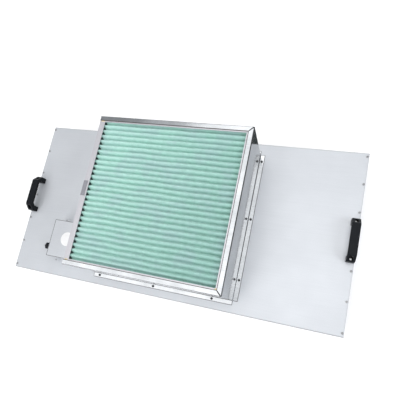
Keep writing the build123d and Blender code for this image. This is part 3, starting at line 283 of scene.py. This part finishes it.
def bright_sheet():
    finish = Finish("bright_sheet")
    scratches = finish.noise(300.0, 4.0, 0.7, finish.stretched((0.02, 0.02, 3.0)))
    across = finish.noise(300.0, 4.0, 0.7, finish.stretched((0.03, 3.0, 0.03)))
    clouds = finish.noise(14.0, 2.0)
    tone = scratches * 0.45 + across * 0.25 + clouds * 0.3
    # painted light: the top lips are painted darker and the flanges at the foot lighter, by height
    painted_light_by_height = (finish.axis("Z") > LIP_HEIGHT) * PAINTED_LIGHT_STEP - (finish.axis("Z") < FLANGE_HEIGHT) * PAINTED_LIGHT_STEP
    level = finish.steps(tone, (0.36, 0.0), (0.64, 1.0)) - painted_light_by_height
    flat = finish.blend(level, (0.34, 0.355, 0.37), (0.57, 0.585, 0.60))
    finish.set(
        # painted shade: the folds are blended towards near-black
        Base_Color=finish.blend(finish.fold() * 0.68, flat, (0.06, 0.06, 0.065)),
        Metallic=0.94,
        Roughness=tone * 0.12 + 0.05,
        Normal=finish.bump(scratches + across, 0.00002, 0.35),
    )
    return finish


FINISHES["bright_sheet"] = bright_sheet()
print("bright sheet ready")

# %% [markdown]
# ## Galvanised sheet
# Hidden brackets, rails and the inlet plate are hot-dip galvanised. Zinc freezes in flat crystals
# some millimetres across, each with its own tone, so a Voronoi texture gives one grey per cell.

# %% Galvanised sheet finish
def galvanised_sheet():
    finish = Finish("galvanised_sheet")
    wander = finish.noise(60.0, 2.0)
    crystal = finish.cells(170.0, "Color")
    tone = finish.node("ShaderNodeSeparateColor", {}, {"Color": crystal})
    frost = finish.noise(900.0, 2.0)
    finish.set(
        Base_Color=finish.blend(tone * 0.8 + wander * 0.2, (0.44, 0.46, 0.48), (0.66, 0.68, 0.70)),
        Metallic=0.85,
        Roughness=tone * 0.18 + frost * 0.08 + 0.26,
        Normal=finish.bump(frost, 0.00003, 0.4),
    )
    return finish


FINISHES["galvanised_sheet"] = galvanised_sheet()
print("galvanised sheet ready")

# %% [markdown]
# ## Other metals
# The small metal parts differ in colour, gloss and the size of their grain, so one recipe with
# those as its inputs serves them all: a fine grain over broad clouds of tarnish.

# %% Plain metal finishes
def metal(name, dark, light, metallic, roughness, grain, depth):
    finish = Finish(name)
    fine = finish.noise(grain, 4.0, 0.65)
    clouds = finish.noise(25.0, 2.0)
    tone = fine * 0.6 + clouds * 0.4
    level = finish.steps(tone, (0.36, 0.0), (0.64, 1.0))
    finish.set(
        Base_Color=finish.blend(level, dark, light),
        Metallic=metallic,
        Roughness=fine * 0.2 + (roughness - 0.1),
        Normal=finish.bump(fine, depth, 0.6),
    )
    return finish


METALS = {
    # dark and light tone, metallic, roughness, grain per metre, depth of the grain in metres
    "dark_screw": ((0.02, 0.021, 0.024), (0.06, 0.062, 0.067), 0.7, 0.42, 900.0, 0.00003),
    "grey_screw": ((0.28, 0.285, 0.29), (0.43, 0.435, 0.44), 0.8, 0.42, 900.0, 0.00003),
    "bright_fastener": ((0.38, 0.39, 0.40), (0.62, 0.62, 0.63), 0.95, 0.28, 900.0, 0.00002),
    "cast_aluminium": ((0.42, 0.43, 0.44), (0.60, 0.61, 0.62), 0.85, 0.46, 420.0, 0.00012),
    "black_casting": ((0.018, 0.019, 0.021), (0.045, 0.046, 0.048), 0.25, 0.5, 420.0, 0.00012),
    "ground_steel": ((0.50, 0.50, 0.51), (0.72, 0.72, 0.73), 0.97, 0.2, 700.0, 0.00001),
}
for metal_name, recipe in METALS.items():
    FINISHES[metal_name] = metal(metal_name, *recipe)
print("metals", sorted(METALS))

# %% [markdown]
# ## Brushed aluminium
# The pre-filter's frame and the fan's wheel are satin aluminium. Their grain runs with the strip,
# which goes along X on two sides and along Y on the others, so both directions are laid in lightly.

# %% Satin aluminium finishes
def satin(name, dark, light, roughness):
    finish = Finish(name)
    along_x = finish.noise(500.0, 3.0, 0.7, finish.stretched((0.03, 2.0, 2.0)))
    along_y = finish.noise(500.0, 3.0, 0.7, finish.stretched((2.0, 0.03, 2.0)))
    grain = along_x * 0.5 + along_y * 0.5
    finish.set(
        Base_Color=finish.blend(grain, dark, light),
        Metallic=0.55,
        Roughness=grain * 0.2 + (roughness - 0.1),
        Normal=finish.bump(grain, 0.00003, 0.4),
    )
    return finish


FINISHES["filter_aluminium"] = satin("filter_aluminium", (0.46, 0.453, 0.48), (0.62, 0.612, 0.645), 0.42)
FINISHES["impeller_sheet"] = satin("impeller_sheet", (0.56, 0.57, 0.59), (0.78, 0.79, 0.80), 0.3)
print("satin aluminium ready")

# %% [markdown]
# ## Mouldings, rubber and paint
# Nylon, rubber, cable sheath and paint aren't metal. They are told apart by tone, gloss and the
# size of the texture that the mould or the spray leaves: spark-eroded nylon is finely pitted, paint
# has a rolling orange peel, and foam is a mass of small cells.

# %% Plastic, rubber and paint finishes
def moulded(name, dark, light, roughness, grain, depth, shine=0.5):
    finish = Finish(name)
    pits = finish.noise(grain, 3.0, 0.6)
    wear = finish.noise(35.0, 3.0)
    finish.set(
        Base_Color=finish.blend(pits * 0.5 + wear * 0.5, dark, light),
        Roughness=pits * 0.14 + wear * 0.10 + (roughness - 0.12),
        Specular_IOR_Level=shine,
        Normal=finish.bump(pits, depth, 0.7),
    )
    return finish


MOULDINGS = {
    # dark and light tone, roughness, pits per metre, depth of a pit in metres, shine
    "black_nylon": ((0.004, 0.005, 0.007), (0.013, 0.015, 0.018), 0.40, 1300.0, 0.00004, 0.10),
    "black_rubber": ((0.012, 0.012, 0.013), (0.03, 0.03, 0.032), 0.72, 700.0, 0.00006, 0.3),
    # painted shade: the dark brown of the strips along the lips' inner edges
    "gap_shade_brown": ((0.035, 0.028, 0.025), (0.06, 0.048, 0.042), 0.6, 300.0, 0.0001, 0.2),
    # painted shade: the grey of the line round the box's lid
    "lid_shade_grey": ((0.07, 0.07, 0.075), (0.12, 0.12, 0.125), 0.6, 700.0, 0.00004, 0.3),
    "lead_sheath": ((0.10, 0.10, 0.11), (0.16, 0.16, 0.17), 0.48, 600.0, 0.00004),
    "grey_plastic": ((0.46, 0.47, 0.48), (0.58, 0.59, 0.60), 0.42, 1000.0, 0.00003),
    "capacitor_case": ((0.60, 0.60, 0.58), (0.72, 0.72, 0.70), 0.32, 1000.0, 0.00002),
    "guard_paint": ((0.62, 0.63, 0.64), (0.74, 0.75, 0.76), 0.36, 420.0, 0.00008),
    "potting_resin": ((0.55, 0.46, 0.28), (0.70, 0.60, 0.38), 0.30, 90.0, 0.0003, 0.7),
}
for moulding_name, recipe in MOULDINGS.items():
    FINISHES[moulding_name] = moulded(moulding_name, *recipe)
print("mouldings", sorted(MOULDINGS))

# %% Foam finish
def foam():
    finish = Finish("gasket_foam")
    pores = finish.cells(900.0)
    open_cells = finish.steps(pores, (0.15, 0.0), (0.6, 1.0))
    clouds = finish.noise(40.0, 2.0)
    finish.set(
        Base_Color=finish.blend(open_cells * 0.7 + clouds * 0.3, (0.025, 0.026, 0.028),
                                (0.085, 0.087, 0.09)),
        Roughness=0.95 - open_cells * 0.15,
        Normal=finish.bump(pores, 0.0004, 0.8),
    )
    return finish


FINISHES["gasket_foam"] = foam()
print("foam ready")

# %% [markdown]
# ## Filter papers
# The pre-filter is a mat of mint-green polyester fibres, soft and a little fuzzy. Both ends of its
# valleys are painted near-black as painted shade, put there by a mask on height and distance from
# the middle. The mat is painted lighter towards its back left and darker towards its front right,
# as painted light. The final filter is white glass paper whose folds are already in its solid, and
# threads of yellowish glue across the folds keep them open.

# %% Green fibre finish
VALLEY_SHADE_LINE = 230.5 * MM     # from the middle of the mat, along X
VALLEY_SHADE_LEVEL = 4 * MM        # above the middle of the folds
media_low, media_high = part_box("prefilter_media")
media_size = media_high - media_low
media_middle = (media_low + media_high) / 2


def green_fibre():
    finish = Finish("green_fibre")
    long_fibres = finish.noise(420.0, 4.0, 0.7, finish.stretched((0.25, 1.6, 1.0), (0, 0, 0.35)))
    cross_fibres = finish.noise(420.0, 4.0, 0.7, finish.stretched((1.6, 0.3, 1.0), (0, 0, -0.3)))
    tufts = finish.noise(70.0, 3.0)
    tone = long_fibres * 0.35 + cross_fibres * 0.25 + tufts * 0.4
    across_mat = finish.axis("X") - media_middle.x
    # painted light: lighter towards the back left of the mat, darker towards the front right
    painted_light_falloff = across_mat * -1.1 + finish.axis("Y") * 0.4
    level = finish.steps(tone, (0.32, 0.15), (0.68, 0.85)) + painted_light_falloff
    end = finish.node("ShaderNodeMath", {"operation": "ABSOLUTE"}, {0: across_mat})
    fibre = finish.blend(level, (0.245, 0.445, 0.39), (0.44, 0.70, 0.63))
    faded = finish.steps(finish.noise(16.0, 3.0, 0.6), (0.44, 0.0), (0.64, 0.38))
    # painted shade: the ends of the valleys near the frame are painted near-black
    painted_valley_shade = (end > VALLEY_SHADE_LINE) * (finish.axis("Z") < media_middle.z + VALLEY_SHADE_LEVEL)
    finish.set(
        Base_Color=finish.blend(painted_valley_shade, finish.blend(faded, fibre, (0.36, 0.48, 0.51)),
                                (0.03, 0.075, 0.07)),
        Roughness=0.97 - tufts * 0.1,
        Sheen_Weight=0.15,
        Sheen_Roughness=0.6,
        Normal=finish.bump(long_fibres + cross_fibres, 0.0003, 0.6),
    )
    return finish


FINISHES["green_fibre"] = green_fibre()
print("green fibre ready")

# %% Glass paper finish
THREAD_PITCH = 25 * MM


def glass_paper():
    finish = Finish("glass_paper")
    thread = finish.node("ShaderNodeTexWave", {"bands_direction": "Y"},
                         {"Vector": finish.place, "Scale": tau / (20 * THREAD_PITCH)}, "Fac")
    bead = finish.steps(thread, (0.90, 0.0), (0.96, 1.0))
    fibres = finish.noise(1500.0, 3.0, 0.7)
    clouds = finish.noise(30.0, 2.0)
    paper = finish.blend(fibres * 0.6 + clouds * 0.4, (0.66, 0.66, 0.64), (0.90, 0.90, 0.88))
    finish.set(
        Base_Color=finish.blend(bead * 0.8, paper, (0.80, 0.72, 0.50)),
        Roughness=0.95 - bead * 0.4,
        Normal=finish.bump(fibres * 0.3 + bead, 0.0008, 0.8),
    )
    return finish


FINISHES["glass_paper"] = glass_paper()
print("glass paper ready, threads every", THREAD_PITCH)

# %% [markdown]
# ## Tape, winding and tab
# The pull tab is grey webbing, woven in threads under a millimetre. The motor's winding is enamelled
# copper wire, which shows as fine glossy lines round the stator.

# %% Woven tab and copper finishes
def woven_tab():
    finish = Finish("grey_tab")
    warp = finish.node("ShaderNodeTexWave", {"bands_direction": "X"},
                       {"Vector": finish.place, "Scale": 330.0, "Distortion": 0.6}, "Fac")
    weft = finish.node("ShaderNodeTexWave", {"bands_direction": "Y"},
                       {"Vector": finish.place, "Scale": 330.0, "Distortion": 0.6}, "Fac")
    weave = warp * 0.5 + weft * 0.5
    finish.set(
        Base_Color=finish.blend(weave, (0.17, 0.17, 0.19), (0.32, 0.32, 0.35)),
        Roughness=0.9 - weave * 0.1,
        Normal=finish.bump(weave, 0.0002, 0.7),
    )
    return finish


def copper_winding():
    finish = Finish("copper_winding")
    wires = finish.node("ShaderNodeTexWave", {"bands_direction": "Z"},
                        {"Vector": finish.place, "Scale": 420.0, "Distortion": 1.5, "Detail": 1.0},
                        "Fac")
    clouds = finish.noise(60.0, 2.0)
    finish.set(
        Base_Color=finish.blend(wires * 0.7 + clouds * 0.3, (0.32, 0.10, 0.03), (0.75, 0.33, 0.14)),
        Metallic=0.8,
        Roughness=0.4 - wires * 0.12,
        Coat_Weight=0.3,
        Normal=finish.bump(wires, 0.0003, 0.8),
    )
    return finish


FINISHES["grey_tab"] = woven_tab()
FINISHES["copper_winding"] = copper_winding()
print("finishes made", len(FINISHES))

# %% [markdown]
# ## Dressing the frame
# The packed record says which finish slot each node belongs to. Giving a node its finish is only a
# matter of filling its object's material slots. Its shape isn't touched.

# %% Give every node its finish
def dress(piece, finish_name):
    piece.data.materials.clear()
    piece.data.materials.append(FINISHES[finish_name].material)


for subpart in frame["record"]["subparts"]:
    dress(nodes[subpart["node"]], subpart["material_slot"])
dress(nodes["end_panel_screws"], "grey_screw")

# %% [markdown]
# ## Working by hand in code
# Blender's tools act on whatever is selected, so each piece starts with nothing selected, has its
# points picked where a tool needs it, and ends as a finished mesh with its place in its points.

# %% Selection and finishing helpers
def clear_selection():
    if bpy.context.object and bpy.context.object.mode == "EDIT":
        bpy.ops.object.mode_set(mode="OBJECT")
    bpy.ops.object.select_all(action="DESELECT")


def pick_points(piece, test):
    """In edit mode, select the points whose place passes the test."""
    bpy.ops.mesh.select_mode(type="VERT")
    bpy.ops.mesh.select_all(action="DESELECT")
    bpy.ops.object.mode_set(mode="OBJECT")
    for point in piece.data.vertices:
        point.select = bool(test(point.co))
    bpy.ops.object.mode_set(mode="EDIT")


def modify(piece, kind, **settings):
    """Add a modifier, set it and apply it."""
    bpy.context.view_layer.objects.active = piece
    modifier = piece.modifiers.new(kind.lower(), kind)
    for name, value in settings.items():
        setattr(modifier, name, value)
    bpy.ops.object.modifier_apply(modifier=modifier.name)


def settle(piece, name, finish_name, body, smooth=40.0):
    """Name a piece, put its place in its mesh, give it its finish and its body."""
    clear_selection()
    piece.select_set(True)
    bpy.context.view_layer.objects.active = piece
    bpy.ops.object.transform_apply(location=True, rotation=True, scale=True)
    bpy.ops.object.shade_smooth_by_angle(angle=radians(smooth))
    piece.name = name
    piece.data.name = name
    dress(piece, finish_name)
    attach(piece, body)
    print(name, len(piece.data.polygons), "faces")
    return piece


# %% [markdown]
# ## The pre-filter's pleats
# The green mat is folded back and forth in soft pleats that run from side to side and hold
# themselves up. A sheet modelled flat as a grid, with every other row lifted and then rounded by
# subdivision, gives even pleats. A little noise afterwards stops them from looking machined.

# %% Fold the pleats
PLEATS = 28
PLEAT_PROFILE = (-1.0, -0.1, 0.55, 0.9, 1.0, 0.9, 0.55, -0.1)     # valley, round crest, valley
ROWS_PER_PLEAT = len(PLEAT_PROFILE)
PLEAT_COLUMNS = 24
MAT_THICKNESS = 1.2 * MM
MAT_MARGIN = 4 * MM
CRUMPLE = 3.6 * MM
CRUMPLE_SPREAD = 0.09

clear_selection()
bpy.ops.mesh.primitive_grid_add(
    x_subdivisions=PLEAT_COLUMNS, y_subdivisions=PLEATS * ROWS_PER_PLEAT, size=1.0,
    location=(0, 0, 0), enter_editmode=True)
pleats = bpy.context.object
row_height = media_size.z / 2 - MAT_THICKNESS
pitch = 1.0 / PLEATS
for row, lift in enumerate(PLEAT_PROFILE):
    pick_points(pleats,
                lambda p: round((p.y + 0.5) / pitch * ROWS_PER_PLEAT) % ROWS_PER_PLEAT == row)
    bpy.ops.transform.translate(value=(0, 0, lift * row_height))
bpy.ops.mesh.select_all(action="SELECT")
bpy.ops.transform.resize(value=(media_size.x - MAT_MARGIN, media_size.y - MAT_MARGIN, 1.0))
bpy.ops.transform.translate(value=media_middle)
bpy.ops.object.mode_set(mode="OBJECT")
crumple = bpy.data.textures.new("crumple", "CLOUDS")
crumple.noise_scale = CRUMPLE_SPREAD
modify(pleats, "SUBSURF", levels=1, render_levels=1)
modify(pleats, "DISPLACE", texture=crumple, strength=CRUMPLE, mid_level=0.5, direction="Y",
       texture_coords="LOCAL")
modify(pleats, "SOLIDIFY", thickness=MAT_THICKNESS, offset=-1.0)
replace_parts(settle(pleats, "prefilter_pleats", "green_fibre", "prefilter", 80.0), "prefilter_media")

# %% [markdown]
# ## Glue at the frame's corners
# The mat is held in its frame by hot-melt glue, and a little amber bead squeezes out at three of the
# corners. A bead is a long low dome, so an ico sphere is drawn out and flattened, and its underside
# is cut away. It is sunk a little, so that it clings to the frame's top.

# %% Glue beads
BEADS = {
    # at the right, at the back, millimetres in from both sides, radius in millimetres, stretch
    "glue_bead_back_left": (False, True, 10.0, 15.5, 3.2, 2.9),
    "glue_bead_front_left": (False, False, 9.5, 16.0, 3.4, 2.2),
    "glue_bead_front_right": (True, False, 16.0, 16.0, 3.8, 1.3),
}
BEAD_WIDTH = 0.8
BEAD_RISE = 0.3
BEAD_CUT = 0.1
BEAD_SINK = 0.6 * MM


def glue_bead(name, right, back, from_side, from_end, radius, stretch):
    low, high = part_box("prefilter_frame")
    x = high.x - from_side * MM if right else low.x + from_side * MM
    y = high.y - from_end * MM if back else low.y + from_end * MM
    size = radius * MM
    clear_selection()
    bpy.ops.mesh.primitive_ico_sphere_add(subdivisions=3, radius=size, location=(0, 0, 0),
                                          enter_editmode=True)
    bead = bpy.context.object
    bpy.ops.transform.resize(value=(stretch, BEAD_WIDTH, BEAD_RISE))
    bpy.ops.mesh.select_all(action="SELECT")
    bpy.ops.mesh.bisect(plane_co=(0, 0, -BEAD_CUT * size), plane_no=(0, 0, 1),
                        clear_inner=True, use_fill=True)
    bpy.ops.mesh.select_all(action="SELECT")
    bpy.ops.transform.translate(value=(x, y, high.z - BEAD_SINK))
    bpy.ops.object.mode_set(mode="OBJECT")
    return settle(bead, name, "potting_resin", "prefilter")


for bead_name, bead_settings in BEADS.items():
    glue_bead(bead_name, *bead_settings)

# %% [markdown]
# ## Dark hairlines
# Dark hairlines outline the sheet work. Most are painted shade, dark strips set where shade falls:
# round the rims of the four flanges at the duct's foot, under the fold of the right lip, along the
# inner edge of each lip and round the box's lid. The mitres at the right lip's two corners are dark
# joints. Each line is a strip of about one to three millimetres, made from a plane that is raised
# and narrowed like a drawn bead.

# %% A strip, and a piece made of strips
SEAM = 1.6 * MM
SEAM_RISE = 0.5 * MM
THIN_RISE = 0.12 * MM
SEAM_SHOULDER = 0.22    # of its width, narrowed from each side
SEAM_CROWN = 0.3        # of its rise, on top of the narrowed part


def seam_line(start, end, base, width=SEAM, rise=SEAM_RISE):
    """Add one raised strip between two places to the mesh being edited."""
    run = Vector(end) - Vector(start)
    middle = (Vector(start) + Vector(end)) / 2
    bpy.ops.mesh.select_all(action="DESELECT")
    bpy.ops.mesh.primitive_plane_add(size=1.0, location=(0, 0, 0))
    bpy.ops.transform.resize(value=(run.length, width, 1.0))
    bpy.ops.transform.rotate(value=-atan2(run.y, run.x), orient_axis="Z",
                             center_override=(0, 0, 0))
    bpy.ops.transform.translate(value=(middle.x, middle.y, base))
    bpy.ops.mesh.extrude_region_move(TRANSFORM_OT_translate={"value": (0, 0, rise)})
    bpy.ops.mesh.inset(thickness=width * SEAM_SHOULDER, depth=rise * SEAM_CROWN)


def seams(name, lines, base, finish_name, width=SEAM, rise=SEAM_RISE):
    clear_selection()
    bpy.ops.mesh.primitive_plane_add(size=MM, location=(0, 0, 0), enter_editmode=True)
    piece = bpy.context.object
    bpy.ops.mesh.delete(type="VERT")
    for start, end in lines:
        seam_line(start, end, base, width, rise)
    bpy.ops.mesh.select_all(action="SELECT")
    bpy.ops.mesh.normals_make_consistent(inside=False)
    bpy.ops.object.mode_set(mode="OBJECT")
    return settle(piece, name, finish_name, "housing")


print("a seam is", round(SEAM / MM, 1), "mm wide unless it says otherwise")

# %% Painted shade round the flanges
FLANGE = 14 * MM
FOOT_WIDTH = 1.3 * MM

right_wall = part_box("duct_wall_right")
front_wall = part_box("duct_wall_front")
back_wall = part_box("duct_wall_back")
left_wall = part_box("duct_wall_left")
deck = right_wall[0].z
half = SEAM / 2
foot_lines = []
for sign, wall in ((1, right_wall), (-1, left_wall)):
    edge = sign * (right_wall[1].x + half)
    foot_lines.append(((edge, wall[0].y - half), (edge, wall[1].y + half)))
    for end in (wall[0].y - half, wall[1].y + half):
        foot_lines.append(((edge - sign * FLANGE, end), (edge, end)))
for sign, wall in ((1, back_wall), (-1, front_wall)):
    edge = sign * (back_wall[1].y + half)
    foot_lines.append(((wall[0].x - half, edge), (wall[1].x + half, edge)))
    for end in (wall[0].x - half, wall[1].x + half):
        foot_lines.append(((end, edge - sign * FLANGE), (end, edge)))
# painted shade: near-black strips round the flange rims, where shade falls
seams("flange_rim_shade", foot_lines, deck, "black_rubber", width=FOOT_WIDTH)

# %% Painted shade under the lip's fold and along the lips' inner edges, and the mitres
LIP = 14 * MM
LIP_EDGE_RISE = 0.9 * MM
MITRE_WIDTH = 3.0 * MM
FOLD_SHADE_WIDTH = 0.9 * MM
FOLD_SHADE_RISE = 2.2 * MM
FOLD_SHADE_DROP = 3.2 * MM

outer_x, outer_y = right_wall[1].x - FLANGE, back_wall[1].y - FLANGE
inner_x, inner_y = outer_x - LIP, outer_y - LIP
fold_x = outer_x + FOLD_SHADE_WIDTH / 2
fold_line = ((fold_x, right_wall[0].y + MM), (fold_x, right_wall[1].y - MM))
# painted shade: a near-black strip under the fold of the right lip
seams("lip_fold_shade", [fold_line], right_wall[1].z - FOLD_SHADE_DROP, "black_rubber", width=FOLD_SHADE_WIDTH,
      rise=FOLD_SHADE_RISE)

lip_base = right_wall[1].z - MM
lip_gap_shade = [
    ((inner_x - half, -inner_y), (inner_x - half, inner_y)),
    ((front_wall[0].x, -inner_y + half), (inner_x, -inner_y + half)),
    ((back_wall[0].x, inner_y - half), (inner_x, inner_y - half)),
]
# painted shade: dark brown strips along the lips' inner edges, in the gap to the filter's frame
seams("lip_gap_shade", lip_gap_shade, lip_base, "gap_shade_brown", rise=LIP_EDGE_RISE)
mitres = [((inner_x, side * inner_y), (outer_x - MM, side * (outer_y - MM))) for side in (-1, 1)]
seams("lip_mitres", mitres, right_wall[1].z, "black_rubber", width=MITRE_WIDTH, rise=THIN_RISE)

# %% Painted shade round the box's lid
LID_SHADE_INSET = 1.2 * MM
LID_SHADE_WIDTH = 1.5 * MM

lid_low, lid_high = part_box("control_box_lid")
left, right = lid_low.x + LID_SHADE_INSET, lid_high.x - LID_SHADE_INSET
front, back = lid_low.y + LID_SHADE_INSET, lid_high.y - LID_SHADE_INSET
corners = [(left, front), (right, front), (right, back), (left, back)]
lid_shade_lines = list(zip(corners, corners[1:] + corners[:1]))
# painted shade: a grey line just inside the lid's rim
seams("lid_rim_shade", lid_shade_lines, lid_high.z, "lid_shade_grey", width=LID_SHADE_WIDTH, rise=THIN_RISE)
print("dark edge lines", len(foot_lines) + len(lip_gap_shade) + len(mitres) + len(lid_shade_lines))

# %% [markdown]
# ## The guard over the final filter
# The clean side is covered by expanded metal: sheet that is slit and drawn out into a net of
# diamonds. One diamond is a four-sided ring, inset and given thickness, and two arrays repeat it.

# %% Expanded metal guard
CELL_LONG = 30 * MM
CELL_SHORT = 13 * MM
STRAND = 1.1 * MM
WELD = 0.2 * MM

guard_low, guard_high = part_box("hepa_face_guard")
guard_size = guard_high - guard_low
columns = int(guard_size.x / CELL_LONG)
rows = int(guard_size.y / CELL_SHORT)
clear_selection()
bpy.ops.mesh.primitive_circle_add(vertices=4, radius=0.5, fill_type="NGON", location=(0, 0, 0),
                                  enter_editmode=True)
guard = bpy.context.object
bpy.ops.transform.resize(value=(guard_size.x / columns, guard_size.y / rows, 1.0))
bpy.ops.mesh.inset(thickness=STRAND)
bpy.ops.mesh.delete(type="FACE")
bpy.ops.mesh.select_all(action="SELECT")
bpy.ops.transform.translate(value=(guard_low.x + guard_size.x / columns / 2,
                                   guard_low.y + guard_size.y / rows / 2, guard_low.z))
bpy.ops.object.mode_set(mode="OBJECT")
modify(guard, "ARRAY", count=columns, use_relative_offset=False, use_constant_offset=True,
       constant_offset_displace=(guard_size.x / columns, 0, 0), use_merge_vertices=True,
       merge_threshold=WELD)
modify(guard, "ARRAY", count=rows, use_relative_offset=False, use_constant_offset=True,
       constant_offset_displace=(0, guard_size.y / rows, 0), use_merge_vertices=True,
       merge_threshold=WELD)
modify(guard, "SOLIDIFY", thickness=guard_size.z, offset=1.0)
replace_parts(settle(guard, "expanded_guard", "guard_paint", "housing", 30.0), "hepa_face_guard")

# %% [markdown]
# ## A blank sticker on the wiring box
# The lid carries a round label. It is left plain white here: a thin disc of film with a rolled edge.

# %% Sticker
def white_film():
    finish = Finish("white_film")
    wrinkle = finish.noise(90.0, 2.0)
    finish.set(
        Base_Color=finish.blend(wrinkle, (0.80, 0.80, 0.80), (0.90, 0.90, 0.90)),
        Roughness=wrinkle * 0.2 + 0.25,
        Normal=finish.bump(wrinkle, 0.0001, 0.3),
    )
    return finish


STICKER_RADIUS = 25 * MM
STICKER_FILM = 0.2 * MM
STICKER_ROLL = 0.08 * MM
STICKER_SHIFT = Vector((-4 * MM, 2.5 * MM, 0.0))     # from the middle of the lid

FINISHES["white_film"] = white_film()
lid_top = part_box("control_box_lid")[1].z
sticker_place = (lid_low + lid_high) / 2 + STICKER_SHIFT
sticker_place.z = lid_top + STICKER_FILM / 2
clear_selection()
bpy.ops.mesh.primitive_cylinder_add(vertices=72, radius=STICKER_RADIUS, depth=STICKER_FILM,
                                    location=sticker_place)
sticker = bpy.context.object
modify(sticker, "BEVEL", width=STICKER_ROLL, segments=2)
settle(sticker, "blank_sticker", "white_film", "housing")

# %% [markdown]
# ## The floor and a dark card
# The unit stands on a wide white floor. Bare metal also needs something dark to mirror: a small card
# lies on the floor behind the unit, to the right of the duct, and it is set so that mirrors see it
# but the camera, the shadows and the soft light don't. Neither is part of the unit.

# %% Floor and card
FLOOR_SIZE = 14.0
CARD_WIDTH = 100 * MM
CARD_DEPTH = 150 * MM
CARD_GAP = 32 * MM      # behind the housing
CARD_RISE = 3 * MM


def flat_sheet(name, finish, width, depth, place):
    clear_selection()
    bpy.ops.mesh.primitive_plane_add(size=1.0, location=place)
    sheet = bpy.context.object
    sheet.name = name
    sheet.scale = (width, depth, 1.0)
    sheet.data.materials.append(finish.material)
    return sheet


floor_finish = Finish("floor_white")
paper = floor_finish.noise(2.0, 2.0)
floor_finish.set(Base_Color=floor_finish.blend(paper, (0.93, 0.93, 0.93), (0.95, 0.95, 0.95)),
                 Roughness=0.9, Emission_Color=(1.0, 1.0, 1.0), Emission_Strength=0.12)
floor = flat_sheet("floor", floor_finish, FLOOR_SIZE, FLOOR_SIZE, (0, 0, 0))

card_finish = Finish("dark_card")
pile = card_finish.noise(400.0, 2.0)
card_finish.set(Base_Color=card_finish.blend(pile, (0.030, 0.036, 0.035), (0.042, 0.050, 0.049)),
                Roughness=0.95, Specular_IOR_Level=0.1)
card_place = (right_wall[1].x + CARD_WIDTH / 2, cad_box[1].y + CARD_GAP + CARD_DEPTH / 2, CARD_RISE)
card = flat_sheet("dark_card", card_finish, CARD_WIDTH, CARD_DEPTH, card_place)
card.visible_camera = False
card.visible_diffuse = False
card.visible_shadow = False
print("stage", FLOOR_SIZE, "m floor, card at", [round(value, 3) for value in card_place])

# %% [markdown]
# ## The light
# One large softbox hangs over the unit and is turned, so that level sheet on the right mirrors it and
# looks white while the left stays greyer. Broad lamps from the sides fill the shadows, a small weak
# one at the back left gives the back lip its sheen, and a pale world keeps the walls from going black.

# %% Lamps and world
LAMPS = {
    # place, aim, width and depth in metres, watts, colour, roll in degrees
    "overhead": ((-0.28, 0.17, 3.0), (-0.28, 0.17, 0.0), 2.9, 3.3, 49.0, (1.0, 0.99, 0.98), -39.5),
    "right_fill": ((4.0, -1.0, 2.6), (0.2, 0.0, 0.1), 2.5, 2.5, 82.0, (0.94, 0.97, 1.0), 0.0),
    "left_fill": ((-2.4, -3.8, 2.8), (0.0, 0.0, 0.1), 2.5, 2.5, 98.0, (1.0, 1.0, 1.0), 0.0),
    "back_fill": ((0.5, 4.2, 2.8), (0.0, 0.0, 0.1), 2.5, 2.5, 28.0, (1.0, 1.0, 1.0), 0.0),
    "halo": ((-1.25, 1.65, 3.0), (-1.25, 1.65, 0.0), 0.6, 0.5, 0.45, (1.0, 1.0, 1.0), 0.0),
}
WORLD_TINT = (0.95, 0.97, 1.0, 1.0)
WORLD_STRENGTH = 0.5


def softbox(name, place, aim, width, depth, watts, colour, roll):
    data = bpy.data.lights.new(name, "AREA")
    data.shape = "RECTANGLE"
    data.size = width
    data.size_y = depth
    data.energy = watts
    data.color = colour
    lamp = bpy.data.objects.new(name, data)
    lamp.location = place
    lamp.rotation_mode = "QUATERNION"
    aimed = (Vector(aim) - Vector(place)).to_track_quat("-Z", "Y")
    lamp.rotation_quaternion = aimed @ Quaternion((0, 0, 1), radians(roll))
    bpy.context.scene.collection.objects.link(lamp)


for lamp_name, lamp_settings in LAMPS.items():
    softbox(lamp_name, *lamp_settings)

world = bpy.data.worlds.new("studio")
world.use_nodes = True
background = world.node_tree.nodes["Background"]
background.inputs["Color"].default_value = WORLD_TINT
background.inputs["Strength"].default_value = WORLD_STRENGTH
bpy.context.scene.world = world
bpy.context.scene.view_settings.view_transform = "Standard"
print("lamps", sorted(LAMPS), "world", WORLD_STRENGTH)
